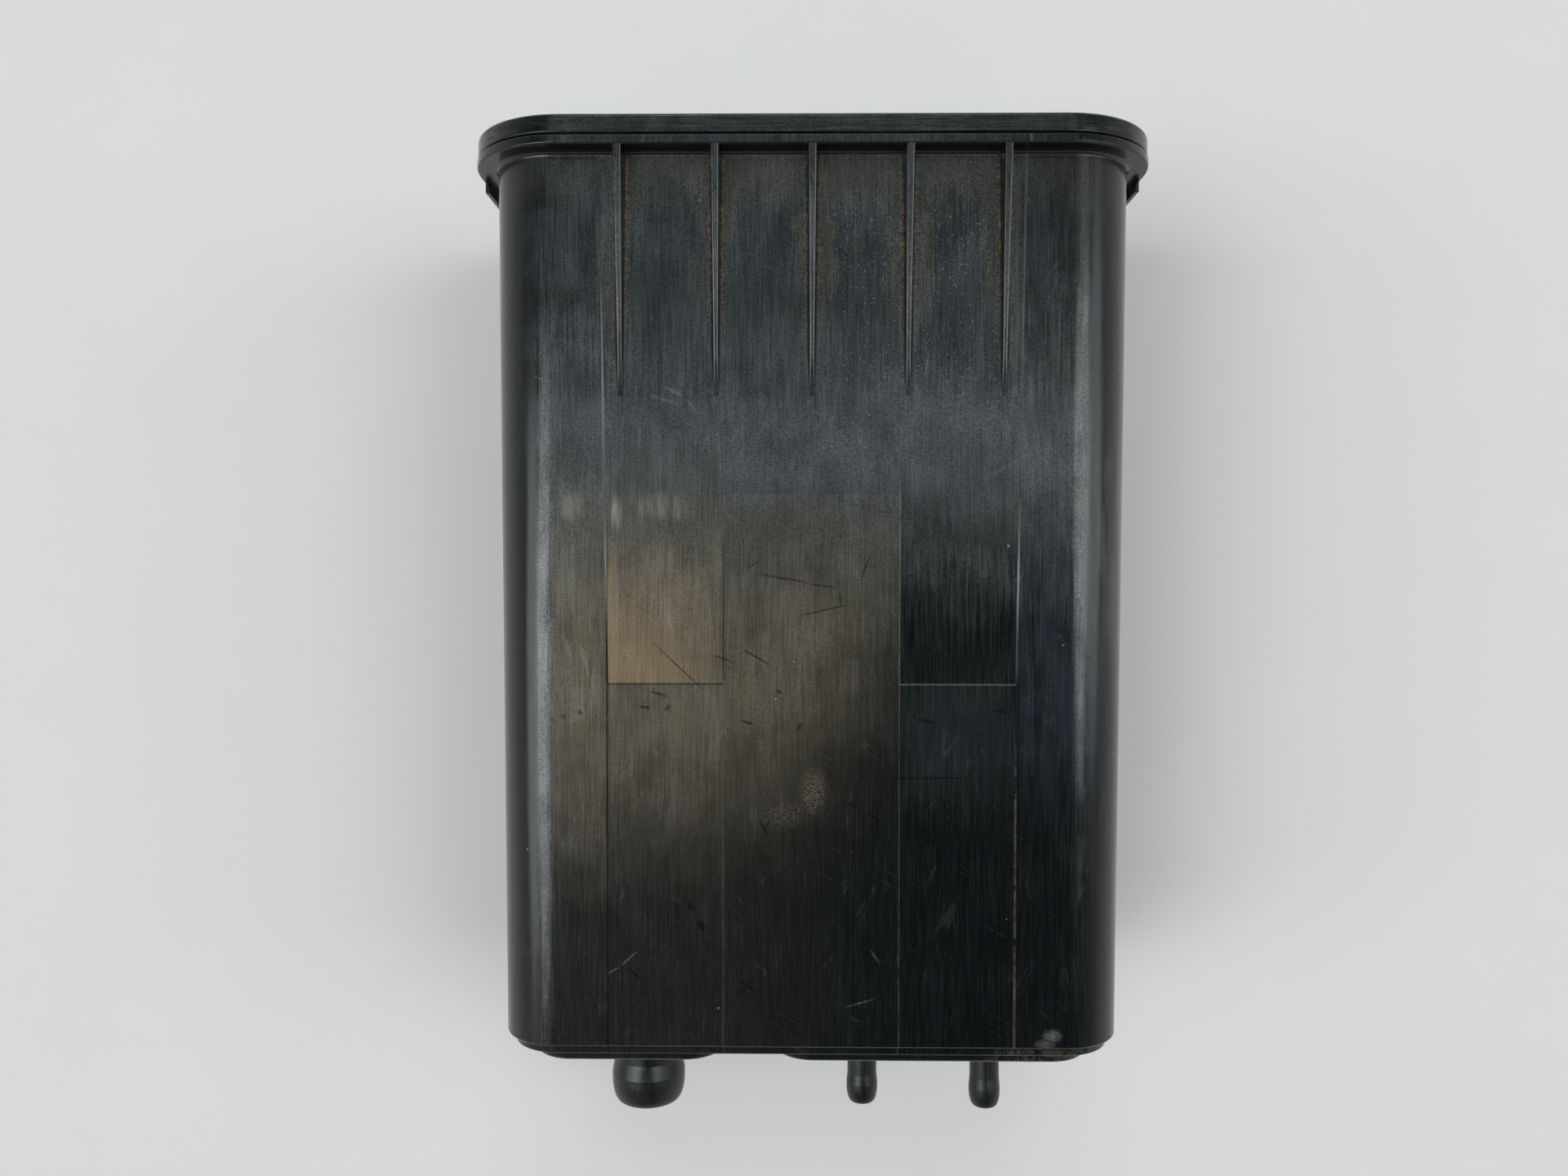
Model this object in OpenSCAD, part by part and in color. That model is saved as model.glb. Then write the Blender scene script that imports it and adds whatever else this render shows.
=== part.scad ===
// Charcoal canister of a vehicle's fuel vapour system, lying on its back with its front face up.
// A moulded case with three hose nipples is closed by a welded cover. A partition splits the case
// into an air side and a tank side. Each side holds a carbon bed between two felts, and a sprung
// grid plate keeps the bed packed.

/* [Case] */
// Width of the case where it leaves the flange
case_w = 154.6; // [140:0.2:175]
// Depth of the case where it leaves the flange, front to back
case_d = 96; // [84:0.5:112]
// Length of the case from its flange face to the edge of its port end
case_len = 213.8; // [180:0.2:240]
// Outer corner radius where the case leaves the flange
corner_r = 16.4; // [13:0.2:22]
// Draft of every side wall in degrees
draft = 0.6; // [0.2:0.1:0.8]
// Thickness of the side walls
wall = 2.6; // [2:0.1:3.4]
// Thickness of the end wall
end_wall = 3; // [2:0.1:4]
// Chamfer round the edge of the port end
end_chamfer = 0.6; // [0.3:0.1:1.2]

/* [Flange] */
// How far the flange stands out from the case walls
flange_out = 5.5; // [4.5:0.1:8]
// How much rounder the flange's corners are than the walls below them
flange_ease = 1.8; // [0:0.1:4]
// Thickness of the case flange
flange_t = 2.2; // [1.6:0.1:4]
// Size of the fillet where the flange meets the walls
flange_fillet = 1; // [0.4:0.1:2]
// Height of the lip that hangs from the flange on each side
lip_h = 2.3; // [1.5:0.1:4]
// Thickness of each side lip
lip_t = 1.2; // [0.8:0.1:2]
// Distance of the side lips' ends from the front and back faces
lip_end = 22.5; // [18:0.5:30]

/* [Ribs] */
// Number of ribs under the flange on the front face, and again on the back
rib_count = 5; // [3:2:5]
// Spacing of the ribs
rib_pitch = 22.6; // [18:0.1:26]
// Length of a rib from the flange to its pointed end
rib_len = 57; // [40:1:80]
// Width of a rib's crest at the flange
rib_crest_w = 2; // [1.4:0.1:2.4]
// Width of a rib's foot at the flange
rib_foot_w = 2.7; // [2.4:0.1:3.6]
// Width of a rib at its pointed end
rib_tip_w = 1.1; // [0.8:0.1:1.4]
// How far a rib's crest lies below the flange's edge
rib_drop = 0.15; // [0.1:0.05:1]

/* [Mould panels] */
// Half the distance between the outer panel edges on the front face
panel_outer_x = 48.3; // [46:0.1:52]
// How much further out the side panels' edges lie at the flange
panel_flare = 1.8; // [0:0.1:3]
// Half the width of the middle strip
panel_inner_x = 20.8; // [16:0.2:30]
// Distance of the side panels' ends from the middle of the length
panel_end = 22.8; // [10:0.1:40]
// Distance of the middle panel's end from the middle of the length
middle_end = 22.2; // [10:0.1:40]
// Distance of the panels from the flange's fillet
panel_top = 0.5; // [0.3:0.1:2]
// Depth of the two side panels
panel_depth = 0.25; // [0.15:0.05:0.5]
// Depth of the upper middle panel
middle_depth = 0.2; // [0.1:0.05:0.4]
// Depth of the side strips towards the ports
strip_depth = 0.1; // [0.05:0.05:0.3]

/* [Port end] */
// How far the raised step is set in from the case edge
step_inset = 2; // [1.2:0.1:3]
// Height of the raised step
step_h = 2.4; // [1.5:0.1:4]
// How far the hollow pads are set in from the case edge
pad_inset = 6.5; // [5:0.1:9]
// Height of the pads above the step
pad_h = 3.5; // [2.5:0.1:6]
// Corner radius of the pads
pad_r = 10; // [7:0.5:14]
// Chamfer round the top of the pads
pad_chamfer = 0.9; // [0.4:0.1:1.4]
// Gap between the two pads
pad_gap = 11.8; // [8:0.2:16]
// Side wall thickness of the hollow pads
pad_wall = 2.6; // [2:0.1:3.4]
// Thickness of the ribs under the pads that hold the felts off the wall
standoff_t = 1.6; // [1.2:0.1:2.4]
// Clear way between a nipple's bore and the ribs beside it
standoff_gap = 6; // [3:0.5:8]
// Clear way past the ends of those ribs
standoff_end = 8; // [4:0.5:14]

/* [Air port] */
// Diameter of the air nipple
air_d = 18.6; // [16:0.1:22]
// How far its barb stands out
air_barb = 0.65; // [0.4:0.05:1.2]
// Bore of the air nipple
air_bore = 14.6; // [12:0.1:15]
// Length of the air nipple above its pad
air_len = 25.8; // [22:0.2:32]
// Distance from the barb's ridge to the open end
air_nose = 7.8; // [6:0.1:9]
// Air nipple's place from the middle of its pad
air_x = 0.6; // [-6:0.1:6]

/* [Vapour ports] */
// Diameter of the purge and tank nipples
vapour_d = 8; // [7.6:0.1:10]
// How far their barbs stand out
vapour_barb = 0.25; // [0.2:0.05:0.8]
// Bore of the purge and tank nipples
vapour_bore = 4.8; // [4:0.1:5.4]
// Length of the purge nipple above its pad
purge_len = 26.4; // [22:0.2:32]
// Length of the tank nipple above its pad
tank_len = 27.4; // [22:0.2:32]
// Distance from the ridge to the open end
vapour_nose = 5.3; // [4.5:0.1:7]
// Width of the flat rim round every nipple's open end
nose_lip = 0.5; // [0.3:0.05:0.8]
// Purge nipple's place from the middle of its pad
purge_x = -15; // [-22:0.5:-10]
// Tank nipple's place from the middle of its pad
tank_x = 18.7; // [12:0.1:24]

/* [Cover] */
// Thickness of the cover at its rim
cover_t = 4.6; // [4:0.1:7]
// How far the cover's rim is set in from the case flange
cover_inset = 0.25; // [0.1:0.05:0.6]
// Height of the weld groove between the cover and the case flange
weld_gap = 0.35; // [0.2:0.05:0.8]
// How far the weld seam is set in from the flange's edge
weld_inset = 1; // [0.6:0.1:1.6]
// Width of the weld seam
weld_w = 3; // [2:0.1:4]
// Depth of the pockets in the cover's outer face
pocket_depth = 1.9; // [1:0.1:2.2]
// Pockets across the width of the cover
pocket_cols = 4; // [3:1:6]
// Pockets across the depth of the cover
pocket_rows = 3; // [2:1:4]
// Width of the webs between the pockets
pocket_web = 2.4; // [1.6:0.1:4]
// Width of the cover's plain rim
rim_w = 8; // [6:0.5:12]
// Height of the locating wall that enters the case
spigot_h = 4; // [3:0.5:6]
// Thickness of the locating wall
spigot_t = 1.8; // [1.4:0.1:2.6]
// Height of the spring seats above the cover's inner face
seat_h = 4; // [3:0.5:6]
// Thickness of the spring seats
seat_t = 1.6; // [1.2:0.1:2.4]

/* [Beds] */
// Middle of the partition from the middle of the case
partition_x = -15.1; // [-24:0.2:-8]
// Thickness of the partition
partition_t = 2.2; // [1.8:0.1:3]
// How far the partition reaches past the grid plates' skirts
partition_reach = 1; // [0.5:0.1:3]
// Room for the springs between the cover and the grid plates
plenum_h = 22; // [18:0.5:30]
// Thickness of the felts
felt_t = 5; // [3:0.5:8]
// Gap round the felts and the beds
bed_gap = 0.3; // [0.1:0.1:0.8]

/* [Grid plates] */
// Thickness of the grid plates
plate_t = 2.6; // [2:0.1:4]
// Gap round the grid plates
plate_gap = 0.7; // [0.4:0.1:1.2]
// Height of the skirt round a grid plate
skirt_h = 6; // [4:0.5:9]
// Thickness of the skirt
skirt_t = 1.8; // [1.4:0.1:2.6]
// Spacing of the openings
grid_pitch = 9; // [8:0.5:12]
// Width of the openings
grid_open = 6; // [4:0.2:6.4]
// Solid band inside the skirt and round the springs
grid_edge = 1; // [0.5:0.1:2]
// Height of the pegs that centre the springs
peg_h = 3; // [2:0.5:5]

/* [Springs] */
// Outer diameter of the springs
spring_d = 24; // [20:0.5:28]
// Diameter of the spring wire
wire_d = 1.8; // [1.4:0.1:2.2]
// Turns of a spring
spring_turns = 5.5; // [4.5:0.5:7]
// Spacing of the two springs under each plate
spring_pitch = 44; // [34:0.5:48]
// Clearance between the springs and their seats and pegs
spring_gap = 0.5; // [0.3:0.1:1]

/* [Hidden] */
$fn = 96;

// Colours
moulded = [0.11, 0.115, 0.12];
felted = [0.62, 0.58, 0.5];
carbon = [0.07, 0.07, 0.075];
grid_grey = [0.3, 0.31, 0.32];
steel = [0.66, 0.67, 0.68];

// How far joined shapes reach into each other
join = wall / 4;

// Sides of the partition
AIR = -1;
TANK = 1;

// Stations along the length, from the outer face of the cover towards the ports
flange_z = cover_t + weld_gap;
root_z = flange_z + flange_t;
end_z = flange_z + case_len;
mid_z = end_z / 2;
step_z = end_z + step_h;
pad_z = step_z + pad_h;
total_len = pad_z + max(air_len, purge_len, tank_len);
seat_z = end_z - end_wall;
pocket_z = pad_z - end_wall;
plate_z = cover_t + plenum_h;
plate_felt_z = plate_z + plate_t;
bed_z = plate_felt_z + felt_t;
port_felt_z = seat_z - felt_t;
partition_z = plate_z - skirt_h - partition_reach;
lean = tan(draft);
pad_slope = 0.04;
rib_h = flange_out - rib_drop;

// Size of the case at a station, from its middle line
function fall(z) = (z - root_z) * lean;
function half_w(z) = case_w / 2 - fall(z);
function half_d(z) = case_d / 2 - fall(z);
function corner(z) = corner_r - fall(z);

// Pads on the port end
pad_half_d = half_d(end_z) - pad_inset;
function pad_x0(side) = side == AIR ? pad_inset - half_w(end_z) : partition_x + pad_gap / 2;
function pad_x1(side) = side == AIR ? partition_x - pad_gap / 2 : half_w(end_z) - pad_inset;
function pad_mid(side) = (pad_x0(side) + pad_x1(side)) / 2;

// Room on each side of the partition at a station
function room_x0(side, z) = side == AIR ? wall - half_w(z) : partition_x + partition_t / 2;
function room_x1(side, z) = side == AIR ? partition_x - partition_t / 2 : half_w(z) - wall;
function room_mid(side) = (room_x0(side, plate_z) + room_x1(side, plate_z)) / 2;

// The springs stand one behind the other on the air side and beside each other on the tank side
air_springs = [[room_mid(AIR), spring_pitch / 2], [room_mid(AIR), -spring_pitch / 2]];
tank_springs = [[room_mid(TANK) - spring_pitch / 2, 0], [room_mid(TANK) + spring_pitch / 2, 0]];
function springs(side) = side == AIR ? air_springs : tank_springs;

// Turns the upright part onto its back, with its length along Y and its lowest point at Z = 0
module lay_down() {
    translate([0, total_len / 2, case_d / 2 + flange_out])
        rotate([90, 0, 0])
            children();
}

// Section of a block from the line of its side, given as distances in from the wall and heights
function across(half, side) = concat(
    [for (p = side) [half - p[0], p[1]]],
    [for (i = [len(side) - 1 : -1 : 0]) [side[i][0] - half, side[i][1]]]
);

// Block with round corners whose sides lean in by rate for each unit of height
module leaning_block(w, d, r, h, rate, chamfer = 0) {
    edge_h = h - chamfer;
    lost = edge_h * rate;
    side = concat([[0, 0], [lost, edge_h]], chamfer > 0 ? [[lost + chamfer, h]] : []);
    for (sx = [-1, 1], sy = [-1, 1])
        translate([sx * (w / 2 - r), sy * (d / 2 - r), 0])
            rotate_extrude()
                polygon(concat([[0, 0]], [for (p = side) [r - p[0], p[1]]], [[0, h]]));
    rotate([90, 0, 0])
        linear_extrude(height = d - 2 * r, center = true)
            polygon(across(w / 2, side));
    rotate([90, 0, 90])
        linear_extrude(height = w - 2 * r, center = true)
            polygon(across(d / 2, side));
}

// Plate with round corners
module round_plate(w, d, r, h) {
    leaning_block(w, d, r, h, 0);
}

// Length of the case between two stations, set in from its outer walls
module case_block(inset, z0, z1, chamfer = 0) {
    translate([0, 0, z0])
        leaning_block(
            2 * (half_w(z0) - inset), 2 * (half_d(z0) - inset),
            corner(z0) - inset, z1 - z0, lean, chamfer
        );
}

// Plate as large as the flange, set in from its edge
module flange_plate(inset, z0, z1) {
    out = flange_out - inset;
    translate([0, 0, z0])
        round_plate(case_w + 2 * out, case_d + 2 * out, corner_r + out + flange_ease, z1 - z0);
}

// Everything on one side of the partition between two stations
module side_half(side, gap, z0, z1) {
    face = partition_x + side * (partition_t / 2 + gap);
    reach = case_w + abs(partition_x);
    translate([side == AIR ? face - reach : face, -case_d, z0])
        cube([reach, 2 * case_d, z1 - z0]);
}

// Piece that fills one side of the case between two stations
module room_block(side, gap, z0, z1) {
    intersection() {
        case_block(wall + gap, z0, z1);
        side_half(side, gap, z0 - join, z1 + join);
    }
}

// Outer shape of the side walls and the flange
module case_outside() {
    foot = flange_fillet + join;
    case_block(0, flange_z, end_z, end_chamfer);
    flange_plate(0, flange_z, root_z);
    translate([0, 0, root_z - join])
        leaning_block(case_w + 2 * foot, case_d + 2 * foot, corner_r + foot, foot + join, 1);
}

// Lip along the outer edge of the flange on each side
module side_lips() {
    lip_len = case_d - 2 * lip_end;
    for (sx = [-1, 1])
        translate([sx * (case_w / 2 + flange_out - lip_t / 2) - lip_t / 2, -lip_len / 2, root_z - join])
            cube([lip_t, lip_len, lip_h + join]);
}

// Tapered rib that stands on a wall, crest towards +Y and pointed end towards +Z
module wedge_rib() {
    foot = rib_foot_w / 2;
    crest = rib_crest_w / 2;
    tip = rib_tip_w / 2;
    polyhedron(
        points = [
            [-foot, -join, -join], [foot, -join, -join], [crest, rib_h, -join], [-crest, rib_h, -join],
            [-tip, -join, rib_len], [tip, -join, rib_len], [tip, 0, rib_len], [-tip, 0, rib_len],
        ],
        faces = [
            [0, 1, 2, 3], [7, 6, 5, 4], [0, 4, 5, 1], [1, 5, 6], [1, 6, 2], [2, 6, 7, 3], [3, 7, 0], [7, 4, 0],
        ]
    );
}

// Ribs that carry the flange on the front and the back
module ribs() {
    for (turn = [0, 180], i = [0 : rib_count - 1])
        rotate([0, 0, turn])
            translate([(i - (rib_count - 1) / 2) * rib_pitch, case_d / 2, root_z])
                rotate([draft, 0, 0])
                    wedge_rib();
}

// Shallow recess in the front face that follows its draft
module face_recess(x0, x1, z0, z1, depth) {
    translate([x0, 0, 0])
        rotate([90, 0, 90])
            linear_extrude(height = x1 - x0)
                polygon([
                    [half_d(z0) - depth, z0], [half_d(z1) - depth, z1],
                    [half_d(z1) + join, z1], [half_d(z0) + join, z0],
                ]);
}

// Side panel, wider at the flange
module side_panel(z0, z1) {
    intersection() {
        face_recess(panel_inner_x, panel_outer_x + panel_flare, z0, z1, panel_depth);
        rotate([90, 0, 0])
            linear_extrude(height = 2 * case_d, center = true)
                polygon([
                    [0, z0 - join], [panel_outer_x + panel_flare, z0 - join],
                    [panel_outer_x, z1 + join], [0, z1 + join],
                ]);
    }
}

// Edges that the mould's inserts leave on the front face
module mould_panels() {
    top_z = root_z + flange_fillet + panel_top;
    for (side = [0, 1])
        mirror([side, 0, 0]) {
            side_panel(top_z, mid_z + panel_end);
            face_recess(panel_inner_x, panel_outer_x, mid_z + panel_end - join, end_z + join, strip_depth);
        }
    face_recess(-panel_inner_x - join, panel_inner_x + join, top_z, mid_z - middle_end, middle_depth);
}

// Raised step over the whole port end
module end_step() {
    translate([0, 0, end_z - join])
        leaning_block(
            2 * (half_w(end_z) - step_inset), 2 * (half_d(end_z) - step_inset),
            corner(end_z) - step_inset, step_h + join, pad_slope
        );
}

// Hollow pad over one side, from which its nipples rise
module pad(side) {
    pad_w = pad_x1(side) - pad_x0(side);
    translate([pad_mid(side), 0, step_z - join])
        leaning_block(pad_w, 2 * pad_half_d, pad_r, pad_h + join, pad_slope, pad_chamfer);
}

// Wall across the room under a pad
module room_wall(x, len) {
    translate([x - standoff_t / 2, -len / 2, seat_z])
        cube([standoff_t, len, pocket_z - seat_z + join]);
}

// Ribs on both sides of a nipple's bore
module standoffs(x, bore) {
    for (sx = [-1, 1])
        room_wall(x + sx * (bore / 2 + standoff_gap), 2 * (pad_half_d - pad_wall - standoff_end));
}

// Room under a pad; a web keeps the purge and tank nipples apart
module pad_room(side) {
    pad_w = pad_x1(side) - pad_x0(side);
    difference() {
        translate([pad_mid(side), 0, seat_z - join])
            round_plate(
                pad_w - 2 * pad_wall, 2 * (pad_half_d - pad_wall),
                pad_r - pad_wall, pocket_z - seat_z + join
            );
        if (side == TANK) {
            room_wall(pad_mid(side) + (purge_x + tank_x) / 2, case_d);
            standoffs(pad_mid(side) + purge_x, vapour_bore);
            standoffs(pad_mid(side) + tank_x, vapour_bore);
        } else {
            standoffs(pad_mid(side) + air_x, air_bore);
        }
    }
}

// Hose nipple with a barb, open end towards +Z
module nipple(d, barb, bore, len, nose) {
    ridge = d / 2 + barb;
    lip = bore / 2 + nose_lip;
    land = nose * 0.2;
    round_h = nose - land;
    rotate_extrude()
        polygon(concat(
            [[0, -join], [d / 2, -join], [d / 2, len - nose * 1.5], [ridge, len - nose], [ridge, len - round_h]],
            [for (a = [15 : 15 : 90]) [lip + (ridge - lip) * cos(a), len - round_h * (1 - sin(a))]],
            [[0, len]]
        ));
}

// Places one of the three nipples' shapes on its pad
module at_port(side, offset) {
    translate([pad_mid(side) + offset, 0, pad_z])
        children();
}

// The three nipples
module nipples() {
    at_port(AIR, air_x)
        nipple(air_d, air_barb, air_bore, air_len, air_nose);
    at_port(TANK, purge_x)
        nipple(vapour_d, vapour_barb, vapour_bore, purge_len, vapour_nose);
    at_port(TANK, tank_x)
        nipple(vapour_d, vapour_barb, vapour_bore, tank_len, vapour_nose);
}

// Bores of the nipples down to the rooms under the pads
module bores() {
    sunk = end_wall + join;
    at_port(AIR, air_x)
        translate([0, 0, -sunk])
            cylinder(h = air_len + sunk + join, d = air_bore);
    for (port = [[purge_x, purge_len], [tank_x, tank_len]])
        at_port(TANK, port[0])
            translate([0, 0, -sunk])
                cylinder(h = port[1] + sunk + join, d = vapour_bore);
}

// Inside of the case on both sides of its partition
module case_inside() {
    difference() {
        case_block(wall, flange_z - join, seat_z);
        translate([partition_x - partition_t / 2, -case_d / 2, partition_z])
            cube([partition_t, case_d, seat_z - partition_z + join]);
    }
}

module case() {
    color(moulded)
        lay_down()
            difference() {
                union() {
                    difference() {
                        case_outside();
                        mould_panels();
                    }
                    side_lips();
                    ribs();
                    end_step();
                    pad(AIR);
                    pad(TANK);
                    nipples();
                }
                case_inside();
                pad_room(AIR);
                pad_room(TANK);
                bores();
            }
}

// Pockets between the webs of the cover's outer face
module cover_pockets() {
    field_w = case_w + 2 * (flange_out - rim_w);
    field_d = case_d + 2 * (flange_out - rim_w);
    pocket_w = (field_w - (pocket_cols - 1) * pocket_web) / pocket_cols;
    pocket_d = (field_d - (pocket_rows - 1) * pocket_web) / pocket_rows;
    intersection() {
        flange_plate(rim_w, -join, pocket_depth);
        translate([0, 0, -2 * join])
            linear_extrude(height = pocket_depth + 4 * join)
                for (i = [0 : pocket_cols - 1], j = [0 : pocket_rows - 1])
                    translate([
                        i * (pocket_w + pocket_web) - field_w / 2,
                        j * (pocket_d + pocket_web) - field_d / 2,
                    ])
                        square([pocket_w, pocket_d]);
    }
}

module cover() {
    seat_r = spring_d / 2 + spring_gap;
    color(moulded)
        lay_down() {
            difference() {
                flange_plate(cover_inset, 0, cover_t);
                cover_pockets();
            }
            difference() {
                flange_plate(weld_inset, cover_t - join, flange_z);
                flange_plate(weld_inset + weld_w, cover_t - 2 * join, flange_z + join);
            }
            difference() {
                case_block(wall + plate_gap, cover_t - join, flange_z + spigot_h);
                case_block(wall + plate_gap + spigot_t, cover_t - 2 * join, flange_z + spigot_h + join);
            }
            for (side = [AIR, TANK], place = springs(side))
                translate([place[0], place[1], cover_t - join])
                    difference() {
                        cylinder(h = seat_h + join, r = seat_r + seat_t);
                        translate([0, 0, -join])
                            cylinder(h = seat_h + 3 * join, r = seat_r);
                    }
        }
}

module port_felt(side) {
    color(felted)
        lay_down()
            room_block(side, bed_gap, port_felt_z, seat_z);
}

module bed(side) {
    color(carbon)
        lay_down()
            room_block(side, bed_gap, bed_z, port_felt_z);
}

module plate_felt(side) {
    color(felted)
        lay_down()
            room_block(side, bed_gap, plate_felt_z, bed_z);
}

// Openings of a grid plate, clear of its edge and of its springs
module grid_openings(side) {
    margin = plate_gap + skirt_t + grid_edge;
    x0 = room_x0(side, plate_z) + margin;
    x1 = room_x1(side, plate_z) - margin;
    y1 = half_d(plate_z) - wall - margin;
    cols = floor((x1 - x0 + grid_pitch - grid_open) / grid_pitch);
    rows = floor((2 * y1 + grid_pitch - grid_open) / grid_pitch);
    difference() {
        intersection() {
            translate([(x0 + x1) / 2, 0, plate_z - join])
                linear_extrude(height = plate_t + 2 * join)
                    for (i = [0 : cols - 1], j = [0 : rows - 1])
                        translate([(i - (cols - 1) / 2) * grid_pitch, (j - (rows - 1) / 2) * grid_pitch])
                            square(grid_open, center = true);
            case_block(wall + margin, plate_z - 2 * join, plate_felt_z + 2 * join);
        }
        for (place = springs(side))
            translate([place[0], place[1], plate_z - 3 * join])
                cylinder(h = plate_t + 6 * join, r = spring_d / 2 + grid_edge);
    }
}

module grid_plate(side) {
    peg_r = spring_d / 2 - wire_d - spring_gap;
    color(grid_grey)
        lay_down() {
            difference() {
                room_block(side, plate_gap, plate_z, plate_felt_z);
                grid_openings(side);
            }
            difference() {
                room_block(side, plate_gap, plate_z - skirt_h, plate_z + join);
                room_block(side, plate_gap + skirt_t, plate_z - skirt_h - join, plate_z + 2 * join);
            }
            for (place = springs(side))
                translate([place[0], place[1], plate_z - peg_h])
                    cylinder(h = peg_h + join, r = peg_r);
        }
}

// Height of the wire's middle after so many turns; the first and the last turn lie closed
coil_h = plenum_h - wire_d;
closed = wire_d * 1.05;
function coil_rise(t) =
    t < 1 ? closed * t
    : t > spring_turns - 1 ? coil_h - closed * (spring_turns - t)
    : closed + (coil_h - 2 * closed) * (t - 1) / (spring_turns - 2);

// Compression spring that stands on the cover
module coil(place) {
    sides = 8;
    per_turn = 20;
    steps = ceil(spring_turns * per_turn);
    mean_r = (spring_d - wire_d) / 2;
    wire_r = wire_d / 2;
    color(steel)
        lay_down()
            translate([place[0], place[1], cover_t + wire_r])
                polyhedron(
                    points = [
                        for (i = [0 : steps], k = [0 : sides - 1])
                            let (
                                t = spring_turns * i / steps,
                                a = 360 * t,
                                b = 360 * k / sides,
                                r = mean_r + wire_r * cos(b)
                            )
                            [r * cos(a), r * sin(a), coil_rise(t) + wire_r * sin(b)]
                    ],
                    faces = concat(
                        [[for (k = [0 : sides - 1]) k]],
                        [for (i = [0 : steps - 1], k = [0 : sides - 1])
                            let (n = (k + 1) % sides, p = i * sides, q = p + sides)
                            [p + k, q + k, q + n, p + n]],
                        [[for (k = [sides - 1 : -1 : 0]) steps * sides + k]]
                    )
                );
}

module air_port_felt() {
    port_felt(AIR);
}

module air_bed() {
    bed(AIR);
}

module air_plate_felt() {
    plate_felt(AIR);
}

module air_plate() {
    grid_plate(AIR);
}

module air_spring_front() {
    coil(air_springs[0]);
}

module air_spring_back() {
    coil(air_springs[1]);
}

module tank_port_felt() {
    port_felt(TANK);
}

module tank_bed() {
    bed(TANK);
}

module tank_plate_felt() {
    plate_felt(TANK);
}

module tank_plate() {
    grid_plate(TANK);
}

module tank_spring_inner() {
    coil(tank_springs[0]);
}

module tank_spring_outer() {
    coil(tank_springs[1]);
}

case();
cover();
air_port_felt();
air_bed();
air_plate_felt();
air_plate();
air_spring_front();
air_spring_back();
tank_port_felt();
tank_bed();
tank_plate_felt();
tank_plate();
tank_spring_inner();
tank_spring_outer();
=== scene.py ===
from math import atan2, copysign, cos, pi, radians, sin, tan
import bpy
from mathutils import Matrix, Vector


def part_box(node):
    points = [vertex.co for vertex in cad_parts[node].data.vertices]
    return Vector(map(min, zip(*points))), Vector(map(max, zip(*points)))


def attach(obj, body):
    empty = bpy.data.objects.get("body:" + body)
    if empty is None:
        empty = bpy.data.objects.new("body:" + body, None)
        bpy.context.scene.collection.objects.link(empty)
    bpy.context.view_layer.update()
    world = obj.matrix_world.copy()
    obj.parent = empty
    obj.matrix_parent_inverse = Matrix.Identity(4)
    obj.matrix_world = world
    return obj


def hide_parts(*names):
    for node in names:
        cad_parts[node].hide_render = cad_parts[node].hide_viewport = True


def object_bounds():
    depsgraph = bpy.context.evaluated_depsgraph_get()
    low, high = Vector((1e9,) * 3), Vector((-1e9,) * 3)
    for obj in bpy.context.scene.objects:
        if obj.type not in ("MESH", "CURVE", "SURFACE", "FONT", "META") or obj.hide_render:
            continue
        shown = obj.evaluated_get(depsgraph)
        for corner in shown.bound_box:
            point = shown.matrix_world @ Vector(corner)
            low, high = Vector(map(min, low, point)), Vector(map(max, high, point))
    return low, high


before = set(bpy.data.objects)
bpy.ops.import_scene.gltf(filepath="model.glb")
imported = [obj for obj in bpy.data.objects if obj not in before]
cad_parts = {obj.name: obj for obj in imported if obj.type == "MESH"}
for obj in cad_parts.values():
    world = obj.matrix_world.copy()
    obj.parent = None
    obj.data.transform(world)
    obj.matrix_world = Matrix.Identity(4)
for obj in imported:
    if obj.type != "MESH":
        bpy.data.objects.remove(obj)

from types import SimpleNamespace

import bmesh
import bpy
from bpy.props import FloatProperty, FloatVectorProperty, IntProperty, PointerProperty
from mathutils import Vector
from mathutils.geometry import tessellate_polygon

bl_info = {
    "name": "Charcoal canister",
    "version": (1, 0, 0),
    "blender": (4, 5, 0),
    "location": "View3D > Sidebar > Canister",
    "description": "Dresses the packed charcoal canister in worn black plastic, felt, carbon and steel",
    "category": "Object",
}

CAD_LOW, CAD_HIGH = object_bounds()
LENGTH = (CAD_HIGH[1] - CAD_LOW[1]) * 1000
HEIGHT = (CAD_HIGH[2] - CAD_LOW[2]) * 1000
INNER_NODES = [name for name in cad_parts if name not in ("case", "cover")]

# Steps round a case corner, a pad corner, a tube and a nose, and along a rib
CORNER_STEPS = 24
PAD_STEPS = 14
TUBE_STEPS = 64
NOSE_STEPS = 16
RIB_STEPS = 24

# Webs on the cover, side by side across its width and one above the other
WEBS_ACROSS = 3
WEBS_UP = 2

# Small rounds that finish the edges, in millimetres
ROUND = SimpleNamespace(
    flange_face=0.35, flange_root=0.5, lip=0.25, step_foot=0.25, step_top=0.4, pad_foot=0.35,
    nipple_foot=0.6, barb_slope=1.2, barb=0.35, bore=0.2, brace=0.2, partition=0.3,
    pocket_foot=0.5, pocket_rim=0.4, cover_face=0.9, cover_joint=0.5,
    wall_foot=0.3, wall_crest=0.4, seat=0.3, web=0.3, rib_crest=0.45, rib_foot=0.5,
)

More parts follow.
